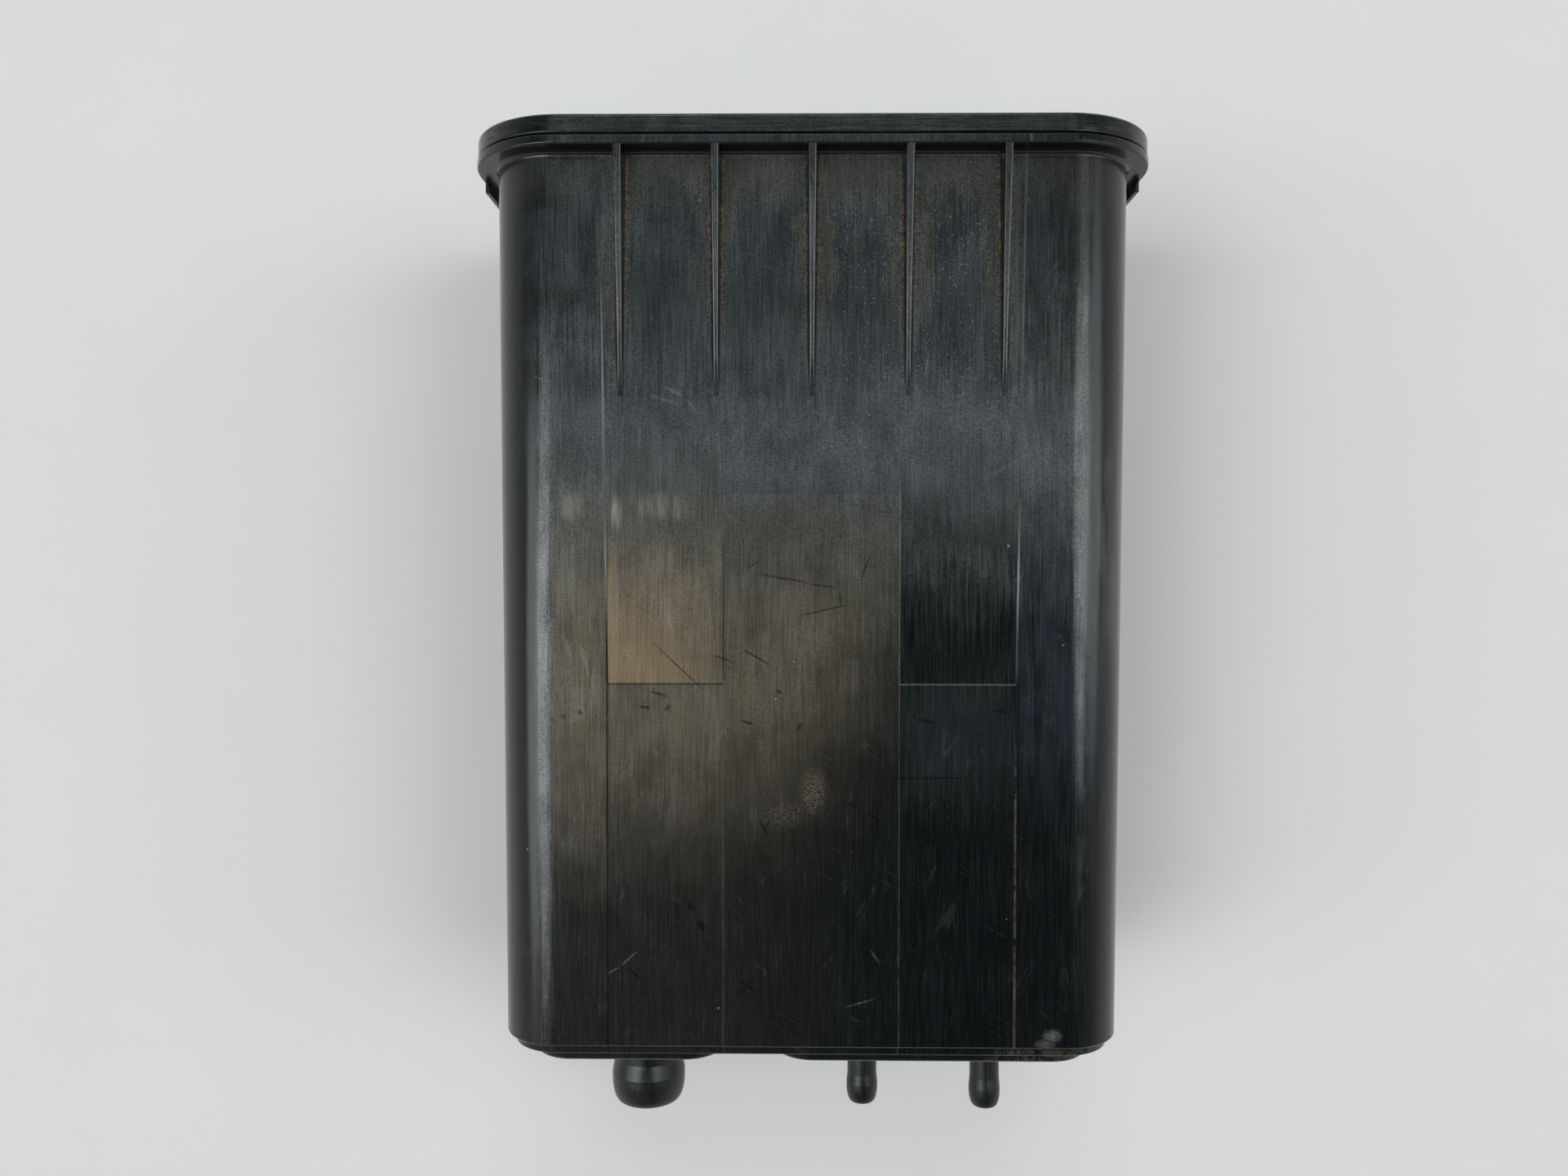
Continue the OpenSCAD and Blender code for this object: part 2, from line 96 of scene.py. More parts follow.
# Small sizes of the mouldings, in millimetres
LEAD = 2.0  # run of a line before its first rounded corner and after its last
NEAR = 0.001  # what is closer than this counts as one
PANEL_SLOPE = 0.16  # half the width of the slope at a panel line
PANEL_START = 0.5  # where the panels begin past the fillet
LIP_SINK = 0.8  # how far a lip reaches into the flange
LIP_IN = 0.02  # how far a lip stays inside the flange's edge
BRACE_AWAY = 6.0  # braces from the edge of a bore
BRACE_HALF = 0.8  # half the thickness of a brace
BRACE_REACH = 28.65  # half the length of a brace
WEB_SHORT = 2.4  # how far the brace between the small nipples ends before the pad's sides
ROOM_SINK = 0.3  # how far braces reach into the roof of a pad
WALL_SINK = 0.4  # how far the partition reaches into the walls
SEAT_SINK = 0.3  # how far a spring seat reaches into the cover
LEDGE = 1.5  # edge of a flat before its middle is filled in
SPIGOT_LEAN = 0.04  # how far the locating wall leans in
RIB_SINK = 0.6  # how far a rib reaches into the flange
RIB_BED = 0.45  # how far a rib reaches into the wall
RIB_SKIRT = 0.05  # thin skirt at a rib's foot
WEB_BED = 0.3  # how far the cover's webs reach into their neighbours
WEB_DROP = 0.02  # how far the webs lie below the rim's face
WEB_SINK = 0.04  # how much lower the webs across lie where the two rows cross

# Shares and angles
SIDE_DRAFT = 0.04  # lean of the sides of the step and the pads over their height
NOSE_SHARE = 0.8  # share of a nipple's nose that is rounded
BARB_SHARE = 1.5  # where a barb's slope begins before the tip, in noses
SHARP_ANGLE = 38  # edges past this many degrees stay sharp
ENDLESS = 1e6  # depth of a mark's oval, so that it reaches through the face


# Settings

def length(name, text, mm):
    """A length that a user can change, given in millimetres."""
    return FloatProperty(
        name=name, description=text, default=mm / 1000, min=0, unit="LENGTH", precision=5
    )


def colour(name, text, red, green, blue):
    """A colour that a user can change."""
    return FloatVectorProperty(
        name=name, description=text, default=(red, green, blue), subtype="COLOR", min=0, max=1
    )


class CanisterCase(bpy.types.PropertyGroup):
    """Sizes of the case moulding."""
    core_x: length("Core width", "Half the width between the corner centres", 60.9)
    core_y: length("Core depth", "Half the depth between the corner centres", 31.6)
    corner: length("Corner", "Corner radius where the case leaves the flange", 16.4)
    fall: length("Fall", "How far each wall leans in over a metre of length", 10.4724)
    wall: length("Wall", "Thickness of the side walls", 2.6)
    end_wall: length("End wall", "Thickness of the end wall", 3.0)
    flange_face: length("Flange face", "Station of the flange's weld face", 4.95)
    flange_out: length("Flange reach", "How far the flange stands out", 5.5)
    flange_ease: length("Flange ease", "How much rounder the flange's corners are than the walls", 1.8)
    flange_t: length("Flange thickness", "Thickness of the flange", 2.2)
    fillet: length("Fillet", "Fillet between flange and walls", 1.0)
    body: length("Body", "Length from the flange face to the port end's edge", 213.8)
    edge: length("Edge", "Round of the port end's edge", 0.6)
    lip_h: length("Lip height", "Height of the lips under the flange's sides", 2.3)
    lip_t: length("Lip thickness", "Thickness of the side lips", 1.2)
    lip_len: length("Lip length", "Length of the side lips", 51.0)
    panel_outer: length("Outer panel line", "Outer edge of the side panels from the middle", 48.3)
    panel_flare: length("Panel flare", "How much further out those edges lie at the flange", 1.8)
    panel_inner: length("Inner panel line", "Inner edge of the side panels from the middle", 20.8)
    panel_end: length("Panel end", "Side panels' ends from the middle of the length", 22.8)
    middle_end: length("Middle end", "Middle panel's end from the middle of the length", 22.2)
    panel_depth: length("Panel depth", "Depth of the side panels", 0.25)
    middle_depth: length("Middle depth", "Depth of the middle panel", 0.2)
    strip_depth: length("Strip depth", "Depth of the strips towards the ports", 0.1)
    partition_x: length("Partition place", "Middle of the partition towards the air side", 15.1)
    partition_t: length("Partition thickness", "Thickness of the partition", 2.2)
    partition_z: length("Partition foot", "Station where the partition begins", 19.6)


class CanisterRibs(bpy.types.PropertyGroup):
    """Sizes of the ribs under the flange."""
    count: IntProperty(
        name="Count", description="Ribs on each of the two wide faces", default=5, min=1, max=9
    )
    pitch: length("Pitch", "Spacing of the ribs", 22.6)
    run: length("Length", "Length of a rib", 57.0)
    height: length("Height", "Height of a rib at the flange", 5.35)
    crest: length("Crest", "Width of the crest at the flange", 2.0)
    foot: length("Foot", "Width of the foot at the flange", 2.7)
    tip: length("Tip", "Width of the pointed end", 1.1)


class CanisterPorts(bpy.types.PropertyGroup):
    """Sizes of the port end."""
    step_in: length("Step inset", "How far the step is set in", 2.0)
    step_h: length("Step height", "Height of the step", 2.4)
    pad_in: length("Pad inset", "How far the pads are set in", 6.5)
    pad_h: length("Pad height", "Height of the pads", 3.5)
    pad_r: length("Pad corner", "Corner radius of the pads", 10.0)
    pad_gap: length("Pad gap", "Gap between the pads", 11.8)
    pad_wall: length("Pad wall", "Side wall of the hollow pads", 2.6)
    pad_edge: length("Pad edge", "Round of the pads' top edge", 0.9)
    air_d: length("Air diameter", "Diameter of the air nipple", 18.6)
    air_barb: length("Air barb", "How far the air barb stands out", 0.65)
    air_bore: length("Air bore", "Bore of the air nipple", 14.6)
    air_len: length("Air length", "Length of the air nipple", 25.8)
    air_nose: length("Air nose", "Length of the air nipple's nose", 7.8)
    air_off: length("Air place", "Air nipple from the middle of its pad", 0.6)
    vapour_d: length("Vapour diameter", "Diameter of the two small nipples", 8.0)
    vapour_barb: length("Vapour barb", "How far their barbs stand out", 0.25)
    vapour_bore: length("Vapour bore", "Bore of the small nipples", 4.8)
    vapour_nose: length("Vapour nose", "Length of their noses", 5.3)
    purge_len: length("Purge length", "Length of the purge nipple", 26.4)
    tank_len: length("Tank length", "Length of the tank nipple", 27.4)
    purge_off: length("Purge place", "Purge nipple from the middle of its pad, towards the air side", 15.0)
    tank_off: length("Tank place", "Tank nipple from the middle of its pad", 18.7)
    lip: length("Nose lip", "Flat rim round the open ends", 0.5)


class CanisterCover(bpy.types.PropertyGroup):
    """Sizes of the welded cover and of the springs on it."""
    thickness: length("Thickness", "Thickness of the rim", 4.6)
    inset: length("Inset", "How far the rim is set in from the flange", 0.25)
    weld_in: length("Weld inset", "How far the weld is set in", 1.0)
    weld_w: length("Weld width", "Width of the weld", 3.0)
    pocket: length("Pocket depth", "Depth of the pockets", 1.9)
    rim: length("Rim", "Width of the plain rim", 8.0)
    web: length("Web", "Width of the webs between the pockets", 2.4)
    spigot_h: length("Locating wall", "Height of the locating wall", 4.0)
    spigot_t: length("Locating wall thickness", "Thickness of the locating wall", 1.8)
    slack: length("Slack", "Gap round the locating wall", 0.7)
    seat_h: length("Seat height", "Height of the spring seats", 4.0)
    seat_t: length("Seat thickness", "Thickness of the spring seats", 1.6)
    spring_d: length("Spring diameter", "Outer diameter of the springs", 24.0)
    spring_gap: length("Spring gap", "Room round the springs", 0.5)


class CanisterFinish(bpy.types.PropertyGroup):
    """Colours of the finishes."""
    plastic: colour("Plastic", "Black plastic of the case and the cover", 0.0026, 0.0039, 0.0044)
    film: colour("Film", "Brown film on the front", 0.103, 0.086, 0.056)
    tan_patch: colour("Tan patch", "Warm patch on one panel", 0.220, 0.146, 0.076)
    grime: colour("Grime", "Dried dirt beside the ribs", 0.033, 0.028, 0.019)
    dust: colour("Dust", "Pale dust and scuffs", 0.34, 0.31, 0.26)
    felt: colour("Felt", "Felt", 0.34, 0.29, 0.21)
    carbon: colour("Carbon", "Carbon granules", 0.006, 0.006, 0.0065)
    grid: colour("Grid", "Grid plates", 0.075, 0.08, 0.085)
    steel: colour("Steel", "Spring wire", 0.46, 0.45, 0.43)
    floor: colour("Floor", "Floor", 0.82, 0.795, 0.765)


class CanisterSettings(bpy.types.PropertyGroup):
    """All settings of the canister."""
    case: PointerProperty(type=CanisterCase)
    ribs: PointerProperty(type=CanisterRibs)
    ports: PointerProperty(type=CanisterPorts)
    cover: PointerProperty(type=CanisterCover)
    finish: PointerProperty(type=CanisterFinish)


def in_mm(group):
    """The lengths of a group in millimetres."""
    kinds = group.bl_rna.properties
    return SimpleNamespace(**{
        name: getattr(group, name) * (1000 if kinds[name].type == "FLOAT" else 1)
        for name in group.__annotations__
    })


def stations(case, ports):
    """Stations along the length, from the cover's outer face towards the ports."""
    s = SimpleNamespace()
    s.flange = case.flange_face
    s.root = s.flange + case.flange_t
    s.end = s.flange + case.body
    s.step = s.end + ports.step_h
    s.pad = s.step + ports.pad_h
    s.seat = s.end - case.end_wall
    s.room = s.pad - case.end_wall
    s.panel = s.root + case.fillet + PANEL_START
    s.side_panel_end = s.end / 2 + case.panel_end
    s.middle_panel_end = s.end / 2 - case.middle_end
    s.lean = case.fall / 1000
    s.corner = lambda z: case.corner - (z - s.root) * s.lean
    return s


def measured(settings):
    """All lengths in millimetres, and the stations along the length."""
    groups = ("case", "ribs", "ports", "cover")
    sizes = SimpleNamespace(**{name: in_mm(getattr(settings, name)) for name in groups})
    sizes.s = stations(sizes.case, sizes.ports)
    return sizes


# Mesh building, in millimetres on the upright canister

def place(x, y, z):
    """A point of the upright canister, laid on its back and in metres."""
    return Vector((x, LENGTH / 2 - z, y + HEIGHT / 2)) / 1000


def around(centre, core, steps, stops=()):
    """Places on a core rectangle and the directions out from them, once round, with stops on the front."""
    out = []
    for turn, (sx, sy) in enumerate(((1, -1), (1, 1), (-1, 1), (-1, -1))):
        for k in range(steps + 1):
            a = (turn - 1 + k / steps) * pi / 2
            out.append((centre[0] + sx * core[0], centre[1] + sy * core[1], cos(a), sin(a)))
        if turn == 1:
            out += [(centre[0] + x, centre[1] + core[1], 0.0, 1.0) for x in sorted(stops, reverse=True)]
    return out


def circle(centre):
    """Directions out from a tube's axis."""
    turns = [2 * pi * k / TUBE_STEPS for k in range(TUBE_STEPS)]
    return [(centre[0], centre[1], cos(a), sin(a)) for a in turns]


def rounded(path, steps=5):
    """A line of (reach, station, radius) points with its corners rounded."""
    out = [tuple(path[0][:2])]
    for before, here, after in zip(path, path[1:], path[2:]):
        corner, radius = Vector(here[:2]), here[2]
        if radius <= 0:
            out.append(tuple(corner))
            continue
        a = (Vector(before[:2]) - corner).normalized()
        b = (Vector(after[:2]) - corner).normalized()
        half = a.angle(b) / 2
        centre = corner + (a + b).normalized() * (radius / sin(half))
        start = corner + a * (radius / tan(half)) - centre
        finish = corner + b * (radius / tan(half)) - centre
        turn = atan2(start.x * finish.y - start.y * finish.x, start.dot(finish))
        first = atan2(start.y, start.x)
        turns = [first + turn * k / steps for k in range(steps + 1)]
        out += [(centre.x + radius * cos(a), centre.y + radius * sin(a)) for a in turns]
    return out + [tuple(path[-1][:2])]


def sweep(bm, rows, outline, front=None):
    """Surface through rows of (reach, station) round an outline; front shifts and sinks the front's stops."""
    rings = []
    for reach, z in rows:
        ring = []
        for x, y, dx, dy in outline:
            shift, depth = front(x, z) if front and dy > 1 - NEAR else (0, 0)
            ring.append(bm.verts.new(place(x + shift + dx * reach, y + dy * (reach - depth), z)))
        rings.append(ring)
    for a, b in zip(rings, rings[1:]):
        bridge(bm, a, b)
    return rings


def bridge(bm, a, b):
    """Faces between two rings."""
    for i in range(len(a)):
        j = (i + 1) % len(a)
        bm.faces.new((a[i], a[j], b[j], b[i]))


def cap(bm, rim, holes=()):
    """Flat face inside a ring, round its holes."""
    loops = [rim, *holes]
    flat = [v for loop in loops for v in loop]
    for tri in tessellate_polygon([[v.co * 1000 for v in loop] for loop in loops]):
        bm.faces.new([flat[k] for k in tri])


def block(bm, low, high, edge):
    """Closed block between two corners, with its edges eased."""
    made = bmesh.ops.create_cube(bm, size=1)["verts"]
    for v in made:
        v.co = place(*[a + (b - a) * (c + 0.5) for a, b, c in zip(low, high, v.co)])
    edges = list({e for v in made for e in v.link_edges})
    bmesh.ops.bevel(
        bm, geom=edges, offset=edge / 1000, segments=3, affect="EDGES", profile=0.5, clamp_overlap=True
    )


def linked(name, bm):
    """Object with a closed mesh whose faces point outwards."""
    bmesh.ops.recalc_face_normals(bm, faces=bm.faces)
    mesh = bpy.data.meshes.new(name)
    bm.to_mesh(mesh)
    bm.free()
    piece = bpy.data.objects.new(name, mesh)
    bpy.context.scene.collection.objects.link(piece)
    return piece


def settled(piece):
    """Turns a piece's modifiers into plain mesh."""
    graph = bpy.context.evaluated_depsgraph_get()
    mesh = bpy.data.meshes.new_from_object(
        piece.evaluated_get(graph), preserve_all_data_layers=True, depsgraph=graph
    )
    old = piece.data
    piece.modifiers.clear()
    piece.data = mesh
    mesh.name = piece.name
    bpy.data.meshes.remove(old)


def repeated(piece, tree, sizes):
    """Runs a Geometry Nodes tree on a piece, with its named inputs set by their sockets' identifiers."""
    rows = piece.modifiers.new(tree.name, "NODES")
    rows.node_group = tree
    for item in tree.interface.items_tree:
        if item.item_type == "SOCKET" and item.in_out == "INPUT" and item.name in sizes:
            rows[item.identifier] = sizes[item.name]
    settled(piece)


def smoothed(piece):
    """Smooth shading that keeps the flat faces flat."""
    piece.data.shade_smooth()
    piece.data.set_sharp_from_angle(angle=radians(SHARP_ANGLE))
    weights = piece.modifiers.new("flat faces first", "WEIGHTED_NORMAL")
    weights.keep_sharp = True
    settled(piece)


def fitted(piece, material, slot, *nodes):
    """Gives a piece its material and body, and the nodes that it stands for; the slot is not used."""
    piece.data.materials.clear()
    piece.data.materials.append(material)
    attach(piece, "root")
    if nodes:
        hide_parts(*nodes)


# Node building

class Nodes:
    """Adds nodes to a tree and feeds their inputs from other nodes or with plain values."""

    def __init__(self, tree):
        self.tree = tree

    def node(self, kind, feeds=None, **settings):
        """New node with its settings made and its inputs fed by name or number."""
        made = self.tree.nodes.new(kind)
        for name, value in settings.items():
            setattr(made, name, value)
        for name, value in (feeds or {}).items():
            self.feed(made.inputs[name], value)
        return made

    def feed(self, socket, value):
        """Links or sets one input; nothing is done for None."""
        if isinstance(value, bpy.types.NodeSocket):
            self.tree.links.new(value, socket)
        elif value is not None:
            socket.default_value = value


class Rows(Nodes):
    """Builds a Geometry Nodes tree that repeats a shape."""

    def __init__(self, name, result, **inputs):
        super().__init__(bpy.data.node_groups.new(name, "GeometryNodeTree"))
        for kind, labels in inputs.items():
            for label in labels:
                self.tree.interface.new_socket(label, in_out="INPUT", socket_type="NodeSocket" + kind)
        self.tree.interface.new_socket(result, in_out="OUTPUT", socket_type="NodeSocketGeometry")
        self.given = self.node("NodeGroupInput").outputs
        self.result = self.node("NodeGroupOutput").inputs[result]
        self.join = self.node("GeometryNodeJoinGeometry")

    def made(self, kind, feeds, **settings):
        """First output of a new node."""
        return self.node(kind, feeds, **settings).outputs[0]

    def stand(self, shape, points, turn=0.0):
        """Stands a shape on points, turned about the length."""
        rows = self.made("GeometryNodeInstanceOnPoints", {
            "Points": points, "Instance": shape, "Rotation": (0, turn, 0),
        })
        self.feed(self.join.inputs["Geometry"], rows)

    def done(self, material):
        """Real mesh of all rows, in one material."""
        real = self.made("GeometryNodeRealizeInstances", {"Geometry": self.join.outputs[0]})
        self.feed(self.result, self.made("GeometryNodeSetMaterial", {"Geometry": real, "Material": material}))
        return self.tree


class Finish(Nodes):
    """Builds the nodes of one material from places in millimetres; base and rough grow coat by coat."""

    def __init__(self, name):
        self.material = bpy.data.materials.new(name)
        self.material.use_nodes = True
        super().__init__(self.material.node_tree)
        self.tree.nodes.clear()
        self.shader = self.node("ShaderNodeBsdfPrincipled")
        self.node("ShaderNodeOutputMaterial", {"Surface": self.shader.outputs["BSDF"]})
        where = self.node("ShaderNodeTexCoord").outputs
        scaled = self.node("ShaderNodeVectorMath", {0: where["Object"], "Scale": 1000}, operation="SCALE")
        self.mm = scaled.outputs[0]
        self.x, self.y, self.z = self.node("ShaderNodeSeparateXYZ", {0: self.mm}).outputs
        self.nz = self.node("ShaderNodeSeparateXYZ", {0: where["Normal"]}).outputs["Z"]
        self.base = self.rough = None

    def math(self, kind, a, b=None, clamp=False):
        """One sum on numbers."""
        return self.node("ShaderNodeMath", {0: a, 1: b}, operation=kind, use_clamp=clamp).outputs[0]

    def apart(self, a, b):
        """How far a number is from another."""
        return self.math("ABSOLUTE", self.math("SUBTRACT", a, b))

    def band(self, value, start, full):
        """0 at start and 1 at full, smoothly."""
        low, high, a, b = (start, full, 0.0, 1.0) if start < full else (full, start, 1.0, 0.0)
        return self.node("ShaderNodeMapRange", {
            "Value": value, "From Min": low, "From Max": high, "To Min": a, "To Max": b,
        }, interpolation_type="SMOOTHSTEP").outputs["Result"]

    def mix(self, factor, a, b):
        """A colour that goes from a to b."""
        a, b = [(*value, 1.0) if isinstance(value, tuple) else value for value in (a, b)]
        return self.node("ShaderNodeMix", {0: factor, 6: a, 7: b}, data_type="RGBA").outputs[2]

    def level(self, factor, a, b):
        """A number that goes from a to b."""
        return self.node("ShaderNodeMix", {0: factor, 2: a, 3: b}, data_type="FLOAT").outputs[0]

    def ramp(self, value, start, full, a, b):
        """A number that is a at start and b at full."""
        return self.level(self.band(value, start, full), a, b)

    def both(self, *masks):
        """Masks and strengths multiplied."""
        out = masks[0]
        for mask in masks[1:]:
            out = self.math("MULTIPLY", out, mask)
        return out

    def either(self, *masks):
        """The strongest of some masks."""
        out = masks[0]
        for mask in masks[1:]:
            out = self.math("MAXIMUM", out, mask)
        return out

    def inside(self, value, low, high, soft):
        """1 between low and high."""
        return self.both(self.band(value, low - soft, low + soft), self.band(value, high + soft, high - soft))

    def coat(self, mask, shade, strength=None):
        """Lays a colour over the base where a mask is, at some strength."""
        if strength is not None:
            mask = self.both(mask, strength)
        self.base = self.mix(mask, self.base, shade)

    def roughen(self, amount):
        """Adds to the roughness."""
        self.rough = self.math("ADD", self.rough, amount)

    def turned(self, stretch=(1, 1, 1), shift=(0, 0, 0), turn=0.0):
        """Places in millimetres, turned about the upright axis and stretched."""
        spin = self.node("ShaderNodeMapping", {"Vector": self.mm, "Rotation": (0, 0, radians(turn))})
        return self.node("ShaderNodeMapping", {
            "Vector": spin.outputs["Vector"], "Scale": stretch, "Location": shift,
        }).outputs["Vector"]

    def noise(self, scale, detail, rough, stretch=(1, 1, 1), shift=(0, 0, 0), twist=0.0, turn=0.0):
        """Noise with scale features in a millimetre."""
        return self.node("ShaderNodeTexNoise", {
            "Vector": self.turned(stretch, shift, turn), "Scale": scale, "Detail": detail,
            "Roughness": rough, "Distortion": twist,
        }).outputs["Fac"]

    def cells(self, scale, shift=(0, 0, 0)):
        """Cells of a random grid: how far a place is from its cell's middle, and the cell's own numbers."""
        made = self.node("ShaderNodeTexVoronoi", {"Vector": self.turned(shift=shift), "Scale": scale}).outputs
        return made["Distance"], self.node("ShaderNodeSeparateColor", {0: made["Color"]}).outputs

    def specks(self, scale, size, share, shift=(0, 0, 0)):
        """Small round specks in a share of the cells of a random grid."""
        away, own = self.cells(scale, shift)
        some = self.math("LESS_THAN", own[0], share)
        return self.both(some, self.math("LESS_THAN", away, self.math("MULTIPLY", own[1], size)))

    def oval(self, x, y, half_x, half_y, turn=0.0):
        """1 in the middle of an oval on the front face, falling to 0 at its rim."""
        where = self.node("ShaderNodeMapping", {
            "Vector": self.mm, "Location": (x, y, 0), "Rotation": (0, 0, turn),
            "Scale": (half_x, half_y, ENDLESS),
        }, vector_type="TEXTURE")
        feeds = {"Vector": where.outputs["Vector"]}
        return self.node("ShaderNodeTexGradient", feeds, gradient_type="SPHERICAL").outputs["Fac"]

    def blob(self, x, y, half_x, half_y):
        """Soft patch on the front face."""
        return self.band(self.oval(x, y, half_x, half_y), 0.0, 0.8)

    def marks(self, lines):
        """Thin straight marks on the front face, each from one point to another."""
        out = 0.0
        for x0, y0, x1, y1, wide in lines:
            run = Vector((x1 - x0, y1 - y0))
            turn = atan2(run.y, run.x)
            mark = self.oval((x0 + x1) / 2, (y0 + y1) / 2, run.length * 0.55, wide, turn)
            out = self.math("MAXIMUM", mark, out)
        return self.band(out, 0.0, 0.55)

    def hairs(self, turn):
        """Fine hairlines that run about one way."""
        wave = self.noise(1.0, 1, 0.5, (0.2, 0.018, 0.2), (turn, turn, 0), 0.3, turn)
        return self.band(self.apart(wave, 0.5), 0.014, 0.004)

    def bump(self, height, distance, strength, after=None):
        """Normal raised by a height, with the distance in millimetres."""
        return self.node("ShaderNodeBump", {
            "Strength": strength, "Distance": distance / 1000, "Height": height, "Normal": after,
        }).outputs["Normal"]

    def done(self, base, rough, normal=None, **others):
        """The finished material."""
        feeds = {"Base Color": base, "Roughness": rough, "Normal": normal}
        feeds.update({name.replace("_", " "): value for name, value in others.items()})
        for name, value in feeds.items():
            self.feed(self.shader.inputs[name], value)
        return self.material


def rgb(group, name):
    """A colour setting as plain numbers."""
    return tuple(getattr(group, name))


def times(values, factor):
    """Each number of a colour or a stretch, multiplied."""
    return tuple(value * factor for value in values)


# Finishes

# Colours of the wear on the plastic, some of them also painted shade and highlights
PLASTIC_HAZE = (0.021, 0.024, 0.024)
OLIVE_HAZE = (0.028, 0.0265, 0.021)
COOL_HAZE = (0.018, 0.030, 0.034)
BLUE_HAZE = (0.022, 0.028, 0.037)
PANEL_HAZE = (0.020, 0.027, 0.028)
CORNER_HAZE = (0.075, 0.073, 0.064)
GREY_SMEAR = (0.060, 0.056, 0.048)
TAN_SCUFF = (0.26, 0.19, 0.11)
PALE_SCUFF = (0.25, 0.24, 0.20)
WIPED_BAY = (0.005, 0.0078, 0.0098)
TAN_CRUST = (0.17, 0.125, 0.075)
FLANGE_ROOT_SHADE_AND_DIRT = (0.012, 0.009, 0.006)
PALE_WEAR_AND_HIGHLIGHT = (0.22, 0.22, 0.21)
DIRT_AND_SHADE_LINE = (0.004, 0.0035, 0.003)
KHAKI_LINE = (0.16, 0.14, 0.10)
GREY_LINE = (0.16, 0.165, 0.165)
BROWN_LINE = (0.006, 0.005, 0.004)
DUST_AND_HIGHLIGHT_LINE = (0.12, 0.115, 0.105)
PALE_LINE = (0.20, 0.20, 0.19)
DEEP_PANEL = (0.0015, 0.0022, 0.003)
RUBBED_SPOT = (0.20, 0.15, 0.11)
CHIPPED_SPOT = (0.25, 0.24, 0.21)
PORT_DIRT = (0.11, 0.10, 0.075)
DARK_SCRATCH = (0.003, 0.003, 0.003)
RUST = (0.16, 0.07, 0.03)

# How the grain is drawn out, along the case and across the cover
CASE_DRAWN = (3.4, 0.07, 3.4)
COVER_DRAWN = (0.08, 2.2, 0.3)

# Hairlines: which way they run and between which levels of the cloud they come out
HAIRS = ((24, 0.54, 0.64), (-58, 0.46, 0.36), (-8, 0.56, 0.66))

# Single marks on the front in millimetres: from x, y to x, y, and half the width
PALE_MARKS = (
    (27.9, 73.9, 26.4, 66.0, 0.22), (26.4, 66.0, 23.0, 52.6, 0.22), (-39.2, 62.3, -30.6, 59.6, 0.4),
    (-35.1, 64.2, -30.0, 61.5, 0.55), (-30.0, 61.5, -26.4, 57.1, 0.55), (-48.5, -75.3, -45.4, -73.5, 0.3),
    (-45.4, -73.5, -40.9, -69.5, 0.3), (13.9, -68.9, 16.4, -72.6, 0.3), (7.7, -83.0, 15.7, -80.7, 0.25),
    (-66.0, 66.5, -61.0, 65.0, 0.3), (-48.2, 64.3, -45.2, 64.6, 0.3), (-23.0, -20.5, -19.8, -16.0, 0.3),
    (40.0, 42.0, 52.5, 49.0, 0.5), (-34.5, 11.5, -32.0, 4.0, 0.5), (-44.5, 3.0, -42.0, -2.5, 0.5),
    (-55.0, 4.0, -52.0, -6.0, 0.8), (-59.0, 7.0, -56.5, -2.0, 0.7),
)
DARK_MARKS = (
    (-2.0, 38.7, 4.2, 38.1, 0.3), (4.2, 38.1, 14.5, 35.0, 0.35), (14.5, 35.0, 19.0, 34.2, 0.3),
    (16.8, 36.3, 19.4, 40.4, 0.3), (25.9, 34.8, 31.0, 37.5, 0.3), (38.2, 34.2, 41.4, 37.3, 0.3),
    (-14.4, 20.1, 0.8, 17.7, 0.4), (-2.0, 17.7, 6.6, 16.6, 0.3), (6.6, 16.6, 6.9, 11.0, 0.3),
    (-4.0, 9.8, 10.0, 13.0, 0.3), (-62.0, -13.9, -60.9, -15.0, 0.6), (-59.3, -13.5, -58.0, -14.4, 0.8),
    (-55.4, -12.5, -54.1, -13.5, 0.6), (-41.1, -11.5, -37.8, -11.9, 0.5), (-34.7, -12.5, -33.4, -11.1, 0.7),
    (-38.6, -7.8, -33.7, -9.2, 0.4), (-8.4, -7.6, -6.8, -8.2, 0.6), (-17.1, -14.6, -13.4, -15.8, 0.5),
    (-3.5, -17.1, -2.0, -15.2, 0.5), (7.1, -33.6, 12.4, -35.8, 0.35), (12.4, -35.8, 17.8, -39.8, 0.4),
    (14.5, -28.4, 40.7, -28.2, 0.3), (-44.0, -73.2, -39.8, -77.2, 0.35), (63.7, 1.5, 67.6, -1.6, 0.6),
    (66.4, 10.8, 67.2, 8.8, 0.5), (-29.4, -58.0, -27.5, -60.0, 1.1), (-27.0, -62.0, -25.0, -65.0, 1.0),
    (-18.0, -76.0, -12.5, -79.5, 0.5), (-13.5, -76.0, -18.5, -81.0, 0.5), (-12.6, -37.6, -9.8, -43.0, 0.35),
    (-17.0, 2.5, -9.0, -2.0, 0.4), (-15.5, 21.0, -12.2, 23.0, 0.3), (11.4, 18.0, 14.0, 25.0, 0.35),
    (24.0, -14.0, 30.0, -15.5, 0.5), (42.0, -12.0, 47.0, -12.8, 0.5), (-39.0, 5.0, -24.0, -9.0, 0.22),
    (-24.0, 0.8, -18.0, -1.0, 0.3),
)


